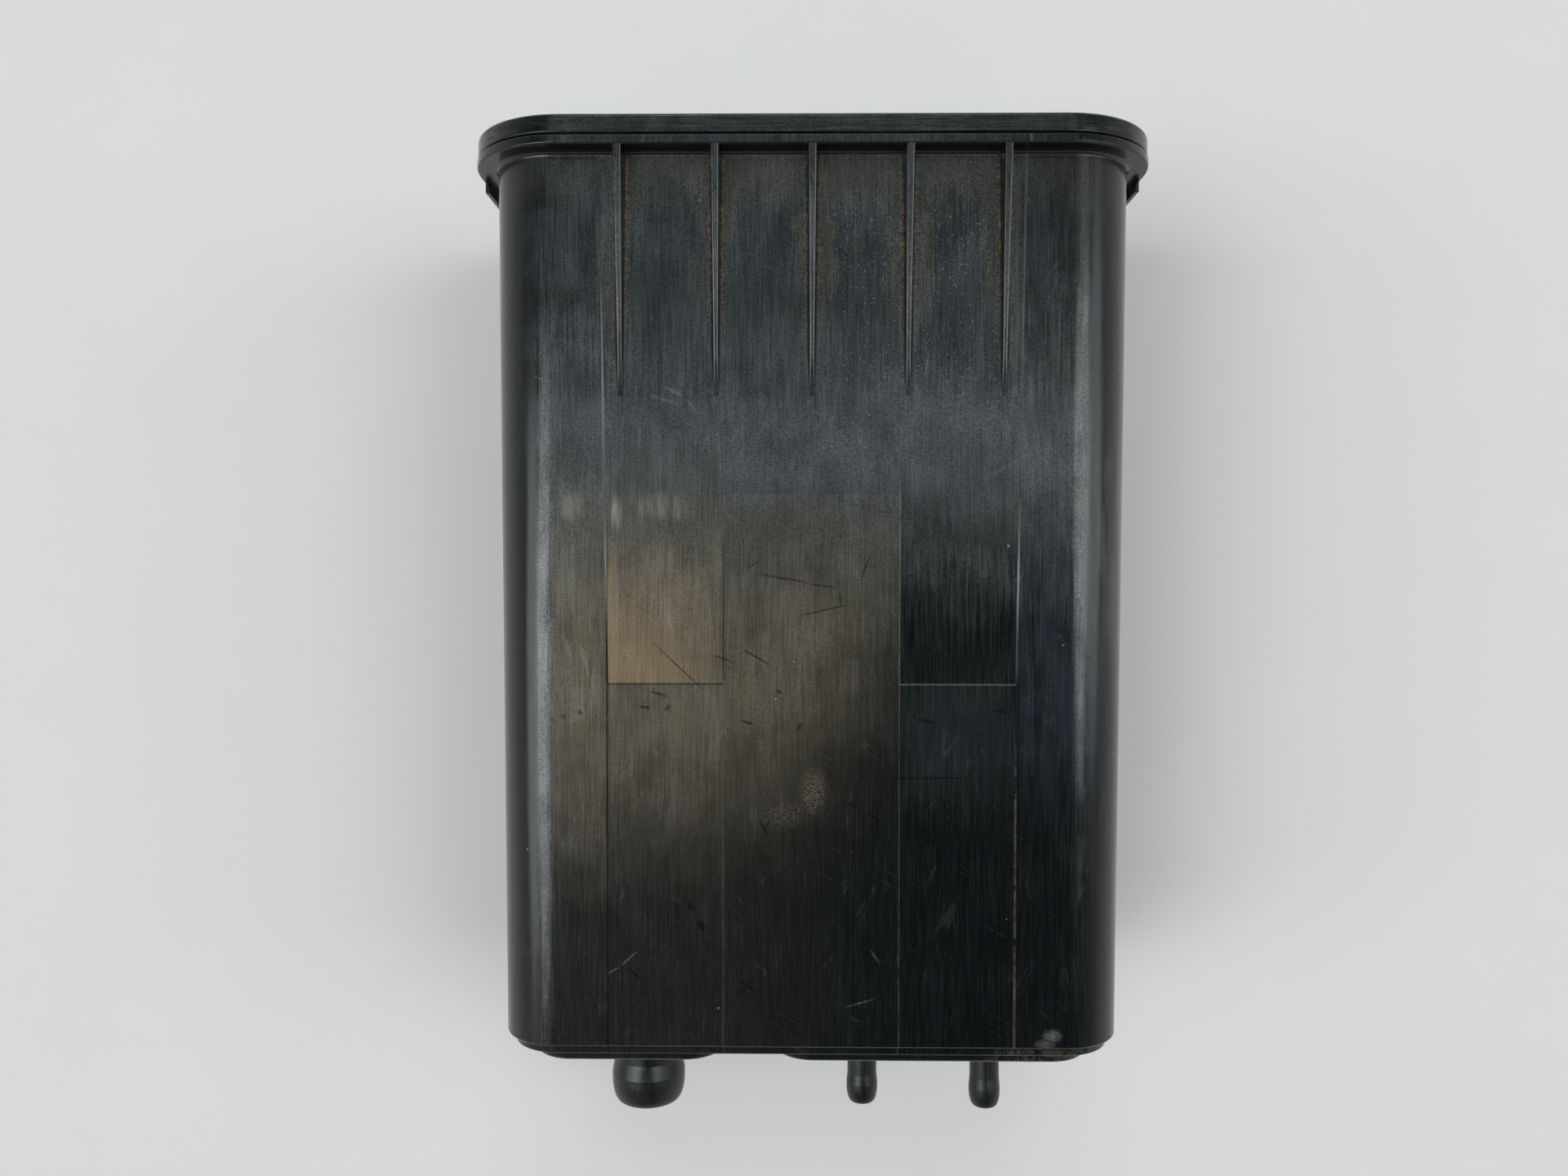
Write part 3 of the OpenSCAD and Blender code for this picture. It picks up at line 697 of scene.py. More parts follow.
def worn_plastic(name, settings, drawn, front=False):
    """Black moulded plastic with drawn grain and fine scratches; the front also carries film, dirt, painted
    shade and painted highlights.
    """
    if name in bpy.data.materials:
        return bpy.data.materials[name]
    f = Finish(name)
    black, dust = rgb(settings.finish, "plastic"), rgb(settings.finish, "dust")
    grain = f.noise(1.0, 3, 0.65, stretch=drawn)
    streak = f.noise(1.0, 2, 0.5, stretch=times(drawn, 0.3), shift=(7, 0, 3))
    patch = f.noise(0.06, 3, 0.62, shift=(3, 5, 0))
    crumb = f.noise(2.3, 2, 0.7)
    cloud = f.noise(0.15, 3, 0.6, stretch=(1, 0.5, 1), shift=(40, 0, 0))
    fine = f.band(f.both(f.math("ADD", grain, crumb), 0.5), 0.37, 0.63)
    f.base = f.mix(f.band(grain, 0.42, 0.72), black, times(black, 1.9))
    f.coat(f.band(streak, 0.5, 0.8), times(black, 2.6), 0.5)
    f.rough = f.ramp(grain, 0.3, 0.75, 0.15, 0.23)
    f.roughen(f.both(f.band(patch, 0.4, 0.75), 0.06))
    haze = f.both(
        f.ramp(patch, 0.35, 0.65, 0.3, 1.0), f.ramp(streak, 0.35, 0.7, 0.5, 1.0), f.level(fine, 0.4, 1.0)
    )
    shine = f.both(f.level(fine, 0.27, 0.72), f.ramp(cloud, 0.35, 0.65, 0.82, 1.18))
    if front:
        # Painted shade: the upper right of the front keeps less haze and a lower specular level, so its
        # reflection looks darker there.
        clear = f.blob(62, 108, 26, 40)
        haze = f.both(haze, f.band(f.z, 99.0, 91.0), f.level(clear, 1.0, 0.1))
        shine = f.level(f.band(f.nz, 0.93, 0.995), 0.5, f.both(shine, f.level(clear, 1.0, 0.6)))
    f.coat(haze, PLASTIC_HAZE, 0.7)
    if front:
        FrontWear(f, settings, grain, patch, crumb).lay()
    hair = f.either(*[f.both(f.hairs(turn), f.band(cloud, start, full)) for turn, start, full in HAIRS])
    f.coat(hair, dust, 0.03)
    f.coat(f.specks(0.22, 0.09, 0.22), dust, 0.4)
    f.roughen(f.both(hair, 0.04))
    normal = f.bump(f.noise(0.02, 1, 0.5, shift=(0, 0, 9)), 0.9, 0.3)
    normal = f.bump(f.math("ADD", f.both(grain, 0.6), f.both(streak, 1.2)), 0.012, 0.6, normal)
    return f.done(f.base, f.rough, normal, Specular_IOR_Level=shine)


class FrontWear:
    """Film, wiped bays, dirt, dust and marks of the front face, with some painted shade and highlights, in
    millimetres where they sit on it.
    """

    def __init__(self, f, settings, grain, patch, crumb):
        self.f, self.grain, self.patch, self.crumb = f, grain, patch, crumb
        self.finish = settings.finish
        sizes = measured(settings)
        self.inner, self.outer = sizes.case.panel_inner, sizes.case.panel_outer
        self.flare, self.pitch = sizes.case.panel_flare, sizes.ribs.pitch
        self.panel_top = LENGTH / 2 - sizes.s.panel
        self.panel_end = LENGTH / 2 - sizes.s.side_panel_end
        self.up = f.both(f.band(f.nz, 0.8, 0.97), f.band(f.z, 92.0, 95.0))
        self.smear = f.noise(0.35, 3, 0.62, stretch=(1.0, 0.12, 1.0))
        self.crust = f.noise(0.9, 3, 0.7)
        self.left, self.right = f.band(f.x, 5, -5), f.band(f.x, -5, 5)
        tooth = f.math("ADD", f.both(grain, 0.28), f.both(crumb, 0.42))
        self.brushed = f.band(f.math("ADD", f.both(self.smear, 0.3), tooth), 0.36, 0.62)

    def lay(self):
        """Lays the wear, with its painted shade and highlights, over the plastic, coat by coat."""
        self.haze()
        brown = self.film()
        dirt = self.dirt()
        self.lines()
        pale = self.marks()
        tube = self.clean_nipples()
        both = self.f.both
        self.f.roughen(self.f.either(both(brown, 0.12), both(dirt, 0.14), both(pale, 0.2), both(tube, 0.14)))

    def haze(self):
        """Olive haze low on the left, cool haze over the upper half with painted shade at its upper right,
        and haze on panels and corners.
        """
        f, up, brushed, smear = self.f, self.up, self.brushed, self.smear
        olive = f.both(up, f.band(f.x, 32, -34), f.band(f.y, 20, -14), f.level(brushed, 0.55, 1.0))
        f.coat(olive, OLIVE_HAZE, 0.5)
        # The cool haze is cut away at the upper right: painted shade, darker there.
        cool = f.both(
            up, f.band(f.y, 26, 62), f.ramp(self.patch, 0.42, 0.58, 0.1, 1.0), f.level(brushed, 0.1, 1.0),
            f.level(f.blob(60, 108, 24, 36), 1.0, 0.2),
        )
        f.coat(cool, COOL_HAZE, 0.75)
        blue = f.both(up, f.band(f.x, 47, 52), f.inside(f.y, -30, 26, 14), f.band(smear, 0.3, 0.6))
        f.coat(blue, BLUE_HAZE, 0.6)
        panel = f.both(up, f.inside(f.x, 21, 48, 0.3), f.blob(34, -19, 26, 24), f.level(brushed, 0.4, 1.0))
        f.coat(panel, PANEL_HAZE, 0.6)
        corner = f.both(f.band(f.x, 62, 69), f.inside(f.y, 2, 52, 18), f.band(smear, 0.3, 0.6))
        f.coat(corner, CORNER_HAZE, 0.6)

    def film(self):
        """Brown film over the middle and the left, with the tan panel and its scuffs."""
        f, up, brushed, smear = self.f, self.up, self.brushed, self.smear
        fade = f.ramp(f.y, 38, 6, 0.3, 1.0)
        slant = f.math("SUBTRACT", f.x, f.both(f.y, 0.4))
        middle = f.both(
            f.inside(f.x, -self.inner, self.inner, 0.12), f.band(f.y, 38.9, 38.4), f.band(f.y, -60, 2),
            f.ramp(slant, 27, -5, 0.14, 1.0), fade,
        )
        strip = f.both(f.inside(f.x, -61.4, -48.4, 0.4), f.band(f.y, 52, 14), f.band(f.y, -68, -16))
        lower = f.both(f.inside(f.x, -48.4, -self.inner, 0.12), f.band(f.y, 54, 14), f.band(f.y, -62, -12))
        cloudy = f.ramp(self.patch, 0.3, 0.6, 0.7, 1.0)
        brown = f.both(up, f.either(middle, strip, lower), f.level(brushed, 0.55, 1.0), cloudy)
        f.coat(brown, rgb(self.finish, "film"))
        # Warm tan patch on the left panel.
        warm = f.both(
            up, f.inside(f.x, -48.2, -20.9, 0.15), f.band(f.y, 32, -6), f.band(f.y, -6.3, -6.0),
            f.level(brushed, 0.58, 1.0), f.band(f.x, -14, -44),
        )
        f.coat(warm, rgb(self.finish, "tan_patch"))
        f.coat(f.both(up, f.blob(-43.5, 18, 5, 10), f.band(smear, 0.35, 0.6)), GREY_SMEAR, 0.6)
        rim = f.both(f.inside(f.x, -48.1, -45.6, 0.5), f.band(f.y, 31, 22), f.band(f.y, -6.2, 0))
        beside = f.both(f.oval(-53, -3, 6, 18), 0.8)
        f.coat(f.both(up, f.either(rim, beside), f.band(smear, 0.3, 0.6)), TAN_SCUFF, 0.32)
        scuffs = f.either(
            f.blob(-46.3, 34.2, 2.1, 5.4), f.both(f.blob(-34.5, 35.6, 8.2, 4.6), 0.7),
            f.both(f.blob(-57, 35.5, 4.5, 5.0), 0.4),
        )
        f.coat(f.both(up, scuffs, f.band(smear, 0.36, 0.62)), PALE_SCUFF, 0.85)
        return brown

    def dirt(self):
        """Dried dirt beside the ribs and under the flange, with the bays wiped in the middle, and painted
        shade with dirt at the flange's root.
        """
        f, crumb = self.f, self.crumb
        bay = f.math("PINGPONG", f.math("ADD", f.x, self.pitch * 20), self.pitch / 2)
        wander = f.both(f.math("SUBTRACT", self.patch, 0.5), 14.0)
        near = f.band(f.math("ADD", bay, wander), 6.5, 3.6)
        ragged = f.math("ADD", f.y, f.both(wander, 2.4))
        reach = f.both(f.band(ragged, 58, 100), f.inside(f.x, -51.5, 49.0, 1.0))
        edge = f.math("ADD", f.y, wander)
        under = f.both(f.band(edge, 103, 112), f.level(f.inside(f.x, -47, 47, 4), 0.4, 1.0))
        low = f.both(f.band(f.z, 102.4, 101.6), f.band(f.z, 96, 99))
        dirt = f.both(
            low, f.band(f.y, 118.6, 117.8), f.either(f.both(near, reach), under),
            f.ramp(crumb, 0.35, 0.6, 0.5, 1.0),
        )
        f.coat(dirt, rgb(self.finish, "grime"), 0.85)
        shapes = f.either(
            f.oval(-34.8, 78, 11.4, 36), f.oval(-11.6, 72, 11.6, 36), f.both(f.oval(11, 68, 10, 28), 0.5),
            f.oval(34, 60, 11.4, 29),
        )
        wiped = f.both(
            self.up, f.band(f.math("ADD", shapes, f.both(wander, 0.02)), 0.02, 0.06),
            f.level(self.brushed, 0.75, 1.0), f.band(f.y, 44, 74),
        )
        f.coat(wiped, WIPED_BAY, 0.85)
        crust = f.both(
            f.band(bay, 2.6, 1.5), f.band(bay, 0.95, 1.15), reach, low, f.band(self.crust, 0.44, 0.56),
            f.band(crumb, 0.42, 0.54),
        )
        f.coat(crust, TAN_CRUST, 0.7)
        # Painted shade with brown dirt at the flange's root and underside.
        f.coat(f.both(f.inside(f.y, 117.2, 119.2, 0.4), f.band(f.z, 97, 99)), FLANGE_ROOT_SHADE_AND_DIRT, 0.8)
        return dirt

    def lines(self):
        """Dirt and wear along the panel lines, with painted highlights and painted shade of the panel steps.
        """
        f, up, left, right = self.f, self.up, self.left, self.right
        past_end = f.math("SUBTRACT", f.y, self.panel_end)
        run = f.math("DIVIDE", past_end, self.panel_top - self.panel_end, clamp=True)
        line = f.math("ADD", f.both(run, self.flare), self.outer)
        wide = f.math("ABSOLUTE", f.x)
        off = f.math("SUBTRACT", wide, line)
        outer = f.both(up, f.band(f.math("ABSOLUTE", off), 0.35, 0.1))
        inner = f.both(up, f.band(f.apart(wide, self.inner), 0.28, 0.08), f.band(f.y, 42, 38))
        broken = f.noise(0.12, 4, 0.78, stretch=(0.4, 1.6, 1))
        # Pale lines here are wear and painted highlights on the panel steps; dark lines are dirt and painted
        # shade in them.
        f.coat(f.both(outer, left, f.inside(f.y, 22, 66, 8)), PALE_WEAR_AND_HIGHLIGHT, 0.75)
        f.coat(f.both(outer, left, f.band(f.y, 24, 16), f.band(broken, 0.32, 0.44)), DIRT_AND_SHADE_LINE)
        beside = f.band(f.apart(off, -0.1), 0.42, 0.08)
        f.coat(f.both(up, right, beside, f.band(f.y, -8, -40), f.band(broken, 0.36, 0.64)), KHAKI_LINE, 0.5)
        f.coat(f.both(outer, right, f.band(f.y, -8, -2)), GREY_LINE, 0.3)
        f.coat(f.both(inner, left, f.inside(f.y, -5, 28, 3)), BROWN_LINE, 0.8)
        share = f.level(f.band(f.y, -4, -8), right, 0.4)
        f.coat(f.both(inner, share, f.ramp(broken, 0.36, 0.54, 0.2, 0.75)), DUST_AND_HIGHLIGHT_LINE)
        across = f.band(f.apart(f.y, self.panel_end), 0.32, 0.1)
        ends = f.both(up, f.inside(wide, self.inner, 48.2, 0.2), across)
        f.coat(f.both(ends, left), BROWN_LINE, 0.9)
        f.coat(f.both(ends, right), PALE_LINE, 0.35)
        deep = f.both(up, f.inside(f.x, 21, 48.1, 0.2), f.band(f.y, 32, -4), f.band(f.y, -6.2, -5.8))
        f.coat(deep, DEEP_PANEL, 0.6)

    def marks(self):
        """Dust, the rubbed spot, the chip, dirt at the port end and single marks."""
        f, up, crumb = self.f, self.up, self.crumb
        bays = f.both(f.inside(f.x, 1, 45, 4), f.inside(f.y, 60, 112, 8))
        dusty = f.either(bays, f.blob(10, 55, 14, 22))
        f.coat(f.both(up, f.specks(1.9, 0.34, 0.3, (4, 0, 0)), dusty), rgb(self.finish, "dust"), 0.4)
        rub = f.either(f.blob(0.6, -31.5, 4.2, 7.6), f.both(f.blob(-6, -37, 9, 4.0), 0.5))
        f.coat(f.both(up, rub, f.band(crumb, 0.44, 0.56)), RUBBED_SPOT, 0.5)
        chip = f.either(f.blob(57.2, -89.6, 3.0, 2.2), f.both(f.blob(55.6, -91.6, 3.4, 1.6), 0.7))
        f.coat(f.both(up, chip, f.ramp(crumb, 0.4, 0.6, 0.35, 1.0)), CHIPPED_SPOT, 0.5)
        port = f.both(
            f.inside(f.y, -101.5, -93.6, 0.5), f.inside(f.x, 44, 69, 5), f.band(f.z, 70, 85),
            f.band(self.crust, 0.4, 0.62),
        )
        f.coat(port, PORT_DIRT, 0.45)
        pale = f.both(up, f.marks(PALE_MARKS), f.band(self.grain, 0.3, 0.55))
        f.coat(pale, PALE_WEAR_AND_HIGHLIGHT, 0.24)
        f.coat(f.both(up, f.marks(DARK_MARKS), f.band(self.crust, 0.15, 0.42)), DARK_SCRATCH, 0.85)
        return pale

    def clean_nipples(self):
        """Clean black on the nipples."""
        tube = self.f.band(self.f.y, -98.9, -99.4)
        self.f.coat(tube, times(rgb(self.finish, "plastic"), 0.7), 0.8)
        return tube


def felt_finish(name, base):
    """Pressed felt with crossing fibres."""
    f = Finish(name)
    layers = [f.noise(1.0, 2, 0.6, (4.0, 0.35, 0.35), (turn, 0, 0), 0.8, turn) for turn in (15, 75, -40)]
    fibres = f.either(*layers)
    f.base = f.mix(f.band(fibres, 0.45, 0.75), times(base, 0.6), times(base, 1.25))
    f.coat(f.band(f.noise(0.08, 3, 0.6), 0.45, 0.75), times(base, 0.35), 0.5)
    return f.done(f.base, f.level(fibres, 0.8, 0.98), f.bump(fibres, 0.25, 0.8), Sheen_Weight=0.25)


def carbon_finish(name, base):
    """Bed of small carbon pellets."""
    f = Finish(name)
    away, own = f.cells(0.45)
    f.base = f.mix(own[0], times(base, 0.6), times(base, 2.2))
    # Painted shade: each pellet darkens towards its rim, for the gaps between the pellets.
    f.coat(f.band(away, 0.35, 0.8), times(base, 0.2))
    dome = f.math("SUBTRACT", 1.0, f.both(away, away))
    return f.done(f.base, f.level(own[1], 0.5, 0.75), f.bump(dome, 0.9, 0.9))


def grid_finish(name, base):
    """Dark moulded plastic with a fine eroded skin."""
    f = Finish(name)
    skin, flow = f.noise(3.0, 2, 0.6), f.noise(0.05, 3, 0.6, stretch=(1, 0.3, 1))
    f.base = f.mix(f.band(flow, 0.35, 0.7), times(base, 0.75), times(base, 1.3))
    return f.done(f.base, f.level(skin, 0.38, 0.56), f.bump(skin, 0.02, 0.6))


def wire_finish(name, base):
    """Drawn spring wire with a few rust spots."""
    f = Finish(name)
    drawn, spots = f.noise(4.0, 2, 0.6, stretch=(1, 0.3, 1)), f.noise(0.5, 4, 0.7)
    f.base = f.mix(f.band(drawn, 0.3, 0.7), times(base, 0.8), base)
    rust = f.band(spots, 0.66, 0.74)
    f.coat(rust, RUST, 0.7)
    f.rough = f.level(drawn, 0.22, 0.36)
    f.roughen(f.both(rust, 0.35))
    return f.done(f.base, f.rough, f.bump(drawn, 0.01, 0.5), Metallic=1.0)


# Operators

class CANISTER_OT_case(bpy.types.Operator):
    """Builds the case moulding with its port end, nipples and inner walls"""
    bl_idname = "canister.case"
    bl_label = "Case"

    def execute(self, context):
        settings = context.scene.canister
        sizes = measured(settings)
        case, ports, s = sizes.case, sizes.ports, sizes.s
        bm = bmesh.new()
        seat, step = self.walls(bm, case, ports, s)
        feet, rooms = self.pads(bm, case, ports, s)
        cap(bm, step, feet)
        cap(bm, seat, rooms)
        self.partition(bm, case, s)
        self.lips(bm, case, s)
        piece = linked("case_moulding", bm)
        smoothed(piece)
        material = worn_plastic("worn case plastic", settings, CASE_DRAWN, True)
        fitted(piece, material, "moulded_plastic", "case")
        return {"FINISHED"}

    def walls(self, bm, case, ports, s):
        """Inner walls, flange, outer walls and step; gives the rings at the seat and on the step."""
        lines = [
            sign * x + side * PANEL_SLOPE
            for x in (case.panel_outer, case.panel_inner) for sign in (-1, 1) for side in (-1, 1)
        ]
        core = (case.core_x, case.core_y)
        outline = around((0, 0), core, CORNER_STEPS, lines)
        eased = around((0, 0), [c - case.flange_ease for c in core], CORNER_STEPS, lines)
        flange = case.corner + case.flange_out + case.flange_ease
        root, end = s.corner(s.root), s.corner(s.end)
        foot = end - ports.step_in
        inner = [(s.corner(z) - case.wall, z) for z in (s.seat, s.flange)]
        rim = rounded([
            (flange - LEAD, s.flange, 0), (flange, s.flange, ROUND.flange_face),
            (flange, s.root, ROUND.flange_root), (flange - LEAD, s.root, 0),
        ])[1:-1]
        fillet = rounded([
            (root + LEAD, s.root, 0), (root, s.root, case.fillet),
            (s.corner(s.root + LEAD), s.root + LEAD, 0),
        ])[1:-1]
        wall = [
            (s.corner(z + side * PANEL_SLOPE), z + side * PANEL_SLOPE)
            for z in (s.panel, s.middle_panel_end, s.side_panel_end) for side in (-1, 1)
        ]
        edge = rounded([
            (s.corner(s.end - LEAD), s.end - LEAD, 0), (end, s.end, case.edge), (end - LEAD, s.end, 0),
        ])[1:-1]
        step = rounded([
            (foot + LEAD, s.end, 0), (foot, s.end, ROUND.step_foot),
            (foot - SIDE_DRAFT * ports.step_h, s.step, ROUND.step_top), (foot - LEAD, s.step, 0),
        ], 4)[1:-1]
        front = self.panels(case, s)
        inside = sweep(bm, inner, outline)
        flanged = sweep(bm, rim, eased, front)
        relieved = sweep(bm, fillet + wall + edge, outline, front)
        bridge(bm, inside[-1], flanged[0])
        bridge(bm, flanged[-1], relieved[0])
        top = sweep(bm, step, outline)
        bridge(bm, relieved[-1], top[0])
        return inside[0], top[-1]

    def panels(self, case, s):
        """Gives how far a place on the front shifts sideways and sinks in."""
        def front(x, z):
            rise = min(max((s.side_panel_end - z) / (s.side_panel_end - s.panel), 0), 1)
            on_outer_line = abs(abs(x) - case.panel_outer) < 2 * PANEL_SLOPE
            shift = copysign(case.panel_flare * rise, x) if on_outer_line else 0
            if not s.panel < z < s.end + NEAR:
                return shift, 0
            if abs(x) < case.panel_inner:
                return shift, case.middle_depth if z < s.middle_panel_end else 0
            if abs(x) < case.panel_outer:
                return shift, case.panel_depth if z < s.side_panel_end else case.strip_depth
            return shift, 0
        return front

    def pads(self, bm, case, ports, s):
        """The hollow pads with their nipples and braces; gives the rings round their feet and rooms."""
        end = s.corner(s.end)
        half_w = case.core_x + end - ports.pad_in
        half_d = case.core_y + end - ports.pad_in
        r = ports.pad_r
        rows = rounded([
            (r + LEAD, s.step, 0), (r, s.step, ROUND.pad_foot),
            (r - SIDE_DRAFT * ports.pad_h, s.pad, ports.pad_edge), (r - LEAD, s.pad, 0),
        ], 6)[1:-1]
        air_side = (-half_w, -case.partition_x - ports.pad_gap / 2, self.air_nipples)
        tank_side = (ports.pad_gap / 2 - case.partition_x, half_w, self.vapour_nipples)
        feet, rooms = [], []
        for low, high, nipples_on in (air_side, tank_side):
            middle = (low + high) / 2
            nipples = nipples_on(ports, middle)
            outline = around((middle, 0), ((high - low) / 2 - r, half_d - r), PAD_STEPS)
            pad = sweep(bm, rows, outline)
            room = sweep(bm, [(r - ports.pad_wall, s.room), (r - ports.pad_wall, s.seat)], outline)
            feet.append(pad[0])
            rooms.append(room[1])
            tubes = [self.nipple(bm, ports, s, *nipple) for nipple in nipples]
            cap(bm, pad[-1], [tube[0] for tube in tubes])
            cap(bm, room[0], [tube[-1] for tube in tubes])
            for x, d, barb, bore, run, nose in nipples:
                for side in (-1, 1):
                    self.brace(bm, s, x + side * (bore / 2 + BRACE_AWAY), BRACE_REACH)
        between = (nipples[0][0] + nipples[1][0]) / 2
        self.brace(bm, s, between, half_d - WEB_SHORT)
        return feet, rooms

    def air_nipples(self, ports, middle):
        """Place, diameter, barb, bore, length and nose of the wide nipple."""
        x = middle + ports.air_off
        return [(x, ports.air_d, ports.air_barb, ports.air_bore, ports.air_len, ports.air_nose)]

    def vapour_nipples(self, ports, middle):
        """Place, diameter, barb, bore, length and nose of the two small nipples."""
        return [
            (middle + off, ports.vapour_d, ports.vapour_barb, ports.vapour_bore, run, ports.vapour_nose)
            for off, run in ((-ports.purge_off, ports.purge_len), (ports.tank_off, ports.tank_len))
        ]

    def nipple(self, bm, ports, s, x, d, barb, bore, run, nose):
        """Barbed nipple from its foot over its nose and down its bore."""
        ridge, lip, tip = d / 2 + barb, bore / 2 + ports.lip, s.pad + run
        over = nose * NOSE_SHARE
        rows = rounded([
            (d / 2 + LEAD, s.pad, 0), (d / 2, s.pad, ROUND.nipple_foot),
            (d / 2, tip - nose * BARB_SHARE, ROUND.barb_slope), (ridge, tip - nose, ROUND.barb),
            (ridge, tip - over, 0),
        ])[1:]
        turns = [k * pi / 2 / NOSE_STEPS for k in range(1, NOSE_STEPS + 1)]
        rows += [(lip + (ridge - lip) * cos(a), tip - over * (1 - sin(a))) for a in turns]
        rows += rounded([(lip, tip, 0), (bore / 2, tip, ROUND.bore), (bore / 2, s.room, 0)], 3)[1:]
        return sweep(bm, rows, circle((x, 0)))

    def brace(self, bm, s, x, reach):
        """Upright brace inside a pad."""
        low, high = (x - BRACE_HALF, -reach, s.seat), (x + BRACE_HALF, reach, s.room + ROOM_SINK)
        block(bm, low, high, ROUND.brace)

    def partition(self, bm, case, s):
        """Wall between the air side and the tank side."""
        reach = case.core_y + s.corner(s.seat) - case.wall + WALL_SINK
        low = (-case.partition_x - case.partition_t / 2, -reach, case.partition_z)
        high = (-case.partition_x + case.partition_t / 2, reach, s.seat + WALL_SINK)
        block(bm, low, high, ROUND.partition)

    def lips(self, bm, case, s):
        """Lips that hang from the flange's sides."""
        out = case.core_x + case.corner + case.flange_out - LIP_IN
        for side in (-1, 1):
            left, right = sorted((side * (out - case.lip_t), side * out))
            low = (left, -case.lip_len / 2, s.root - LIP_SINK)
            high = (right, case.lip_len / 2, s.root + case.lip_h)
            block(bm, low, high, ROUND.lip)


class CANISTER_OT_ribs(bpy.types.Operator):
    """Repeats one tapered rib along both wide faces with Geometry Nodes"""
    bl_idname = "canister.ribs"
    bl_label = "Ribs"

    def execute(self, context):
        settings = context.scene.canister
        sizes = measured(settings)
        material = worn_plastic("worn case plastic", settings, CASE_DRAWN, True)
        piece = linked("flange_ribs", self.one_rib(sizes.case, sizes.ribs, sizes.s))
        repeated(piece, self.row_tree(material), {
            "Count": settings.ribs.count, "Pitch": settings.ribs.pitch, "Middle height": HEIGHT / 2000,
        })
        smoothed(piece)
        fitted(piece, material, "moulded_plastic")
        return {"FINISHED"}

    def one_rib(self, case, ribs, s):
        """One rib of the front face, placed about the canister's middle line."""
        bm = bmesh.new()
        rings = []
        for i in range(RIB_STEPS + 1):
            t = i / RIB_STEPS
            z = s.root - RIB_SINK + (ribs.run + RIB_SINK) * t
            h = min(max(ribs.height * (1 - (z - s.root) / ribs.run), 0.0), ribs.height)
            foot = (ribs.foot + (ribs.tip - ribs.foot) * t) / 2
            crest = (ribs.crest + (ribs.tip - ribs.crest) * t) / 2
            face = case.core_y + s.corner(z)
            ease = min(ROUND.rib_crest, h * 0.5)
            root = min(ROUND.rib_foot, h * 0.45)
            half = [
                (foot + root + RIB_SKIRT, -RIB_BED), (foot + root, -RIB_SKIRT),
                (foot + root * 0.3, root * 0.3), (foot, root), (crest, max(h - ease, root)),
                (crest - ease * 0.12, h - ease * 0.38), (crest - ease * 0.38, h - ease * 0.12),
                (crest - ease, h),
            ]
            ring = half + [(-x, y) for x, y in reversed(half)]
            rings.append([bm.verts.new(Vector((x, LENGTH / 2 - z, y + face)) / 1000) for x, y in ring])
        for a, b in zip(rings, rings[1:]):
            bridge(bm, a, b)
        bm.faces.new(rings[0])
        bm.faces.new(rings[-1])
        return bm

    def row_tree(self, material):
        """Geometry Nodes that stand the rib in a row on the front and, turned over, on the back."""
        g = Rows("rib rows", "Ribs", Geometry=["Rib"], Int=["Count"], Float=["Pitch", "Middle height"])
        given = g.given
        gaps = g.made("ShaderNodeMath", {0: given["Count"], 1: 1}, operation="SUBTRACT")
        span = g.made("ShaderNodeMath", {0: gaps, 1: given["Pitch"]}, operation="MULTIPLY")
        first = g.made("ShaderNodeMath", {0: span, 1: -0.5}, operation="MULTIPLY")
        start = g.made("ShaderNodeCombineXYZ", {"X": first, "Z": given["Middle height"]})
        step = g.made("ShaderNodeCombineXYZ", {"X": given["Pitch"]})
        line = g.made("GeometryNodeMeshLine", {
            "Count": given["Count"], "Start Location": start, "Offset": step,
        })
        for turn in (0.0, pi):
            g.stand(given["Rib"], line, turn)
        return g.done(material)


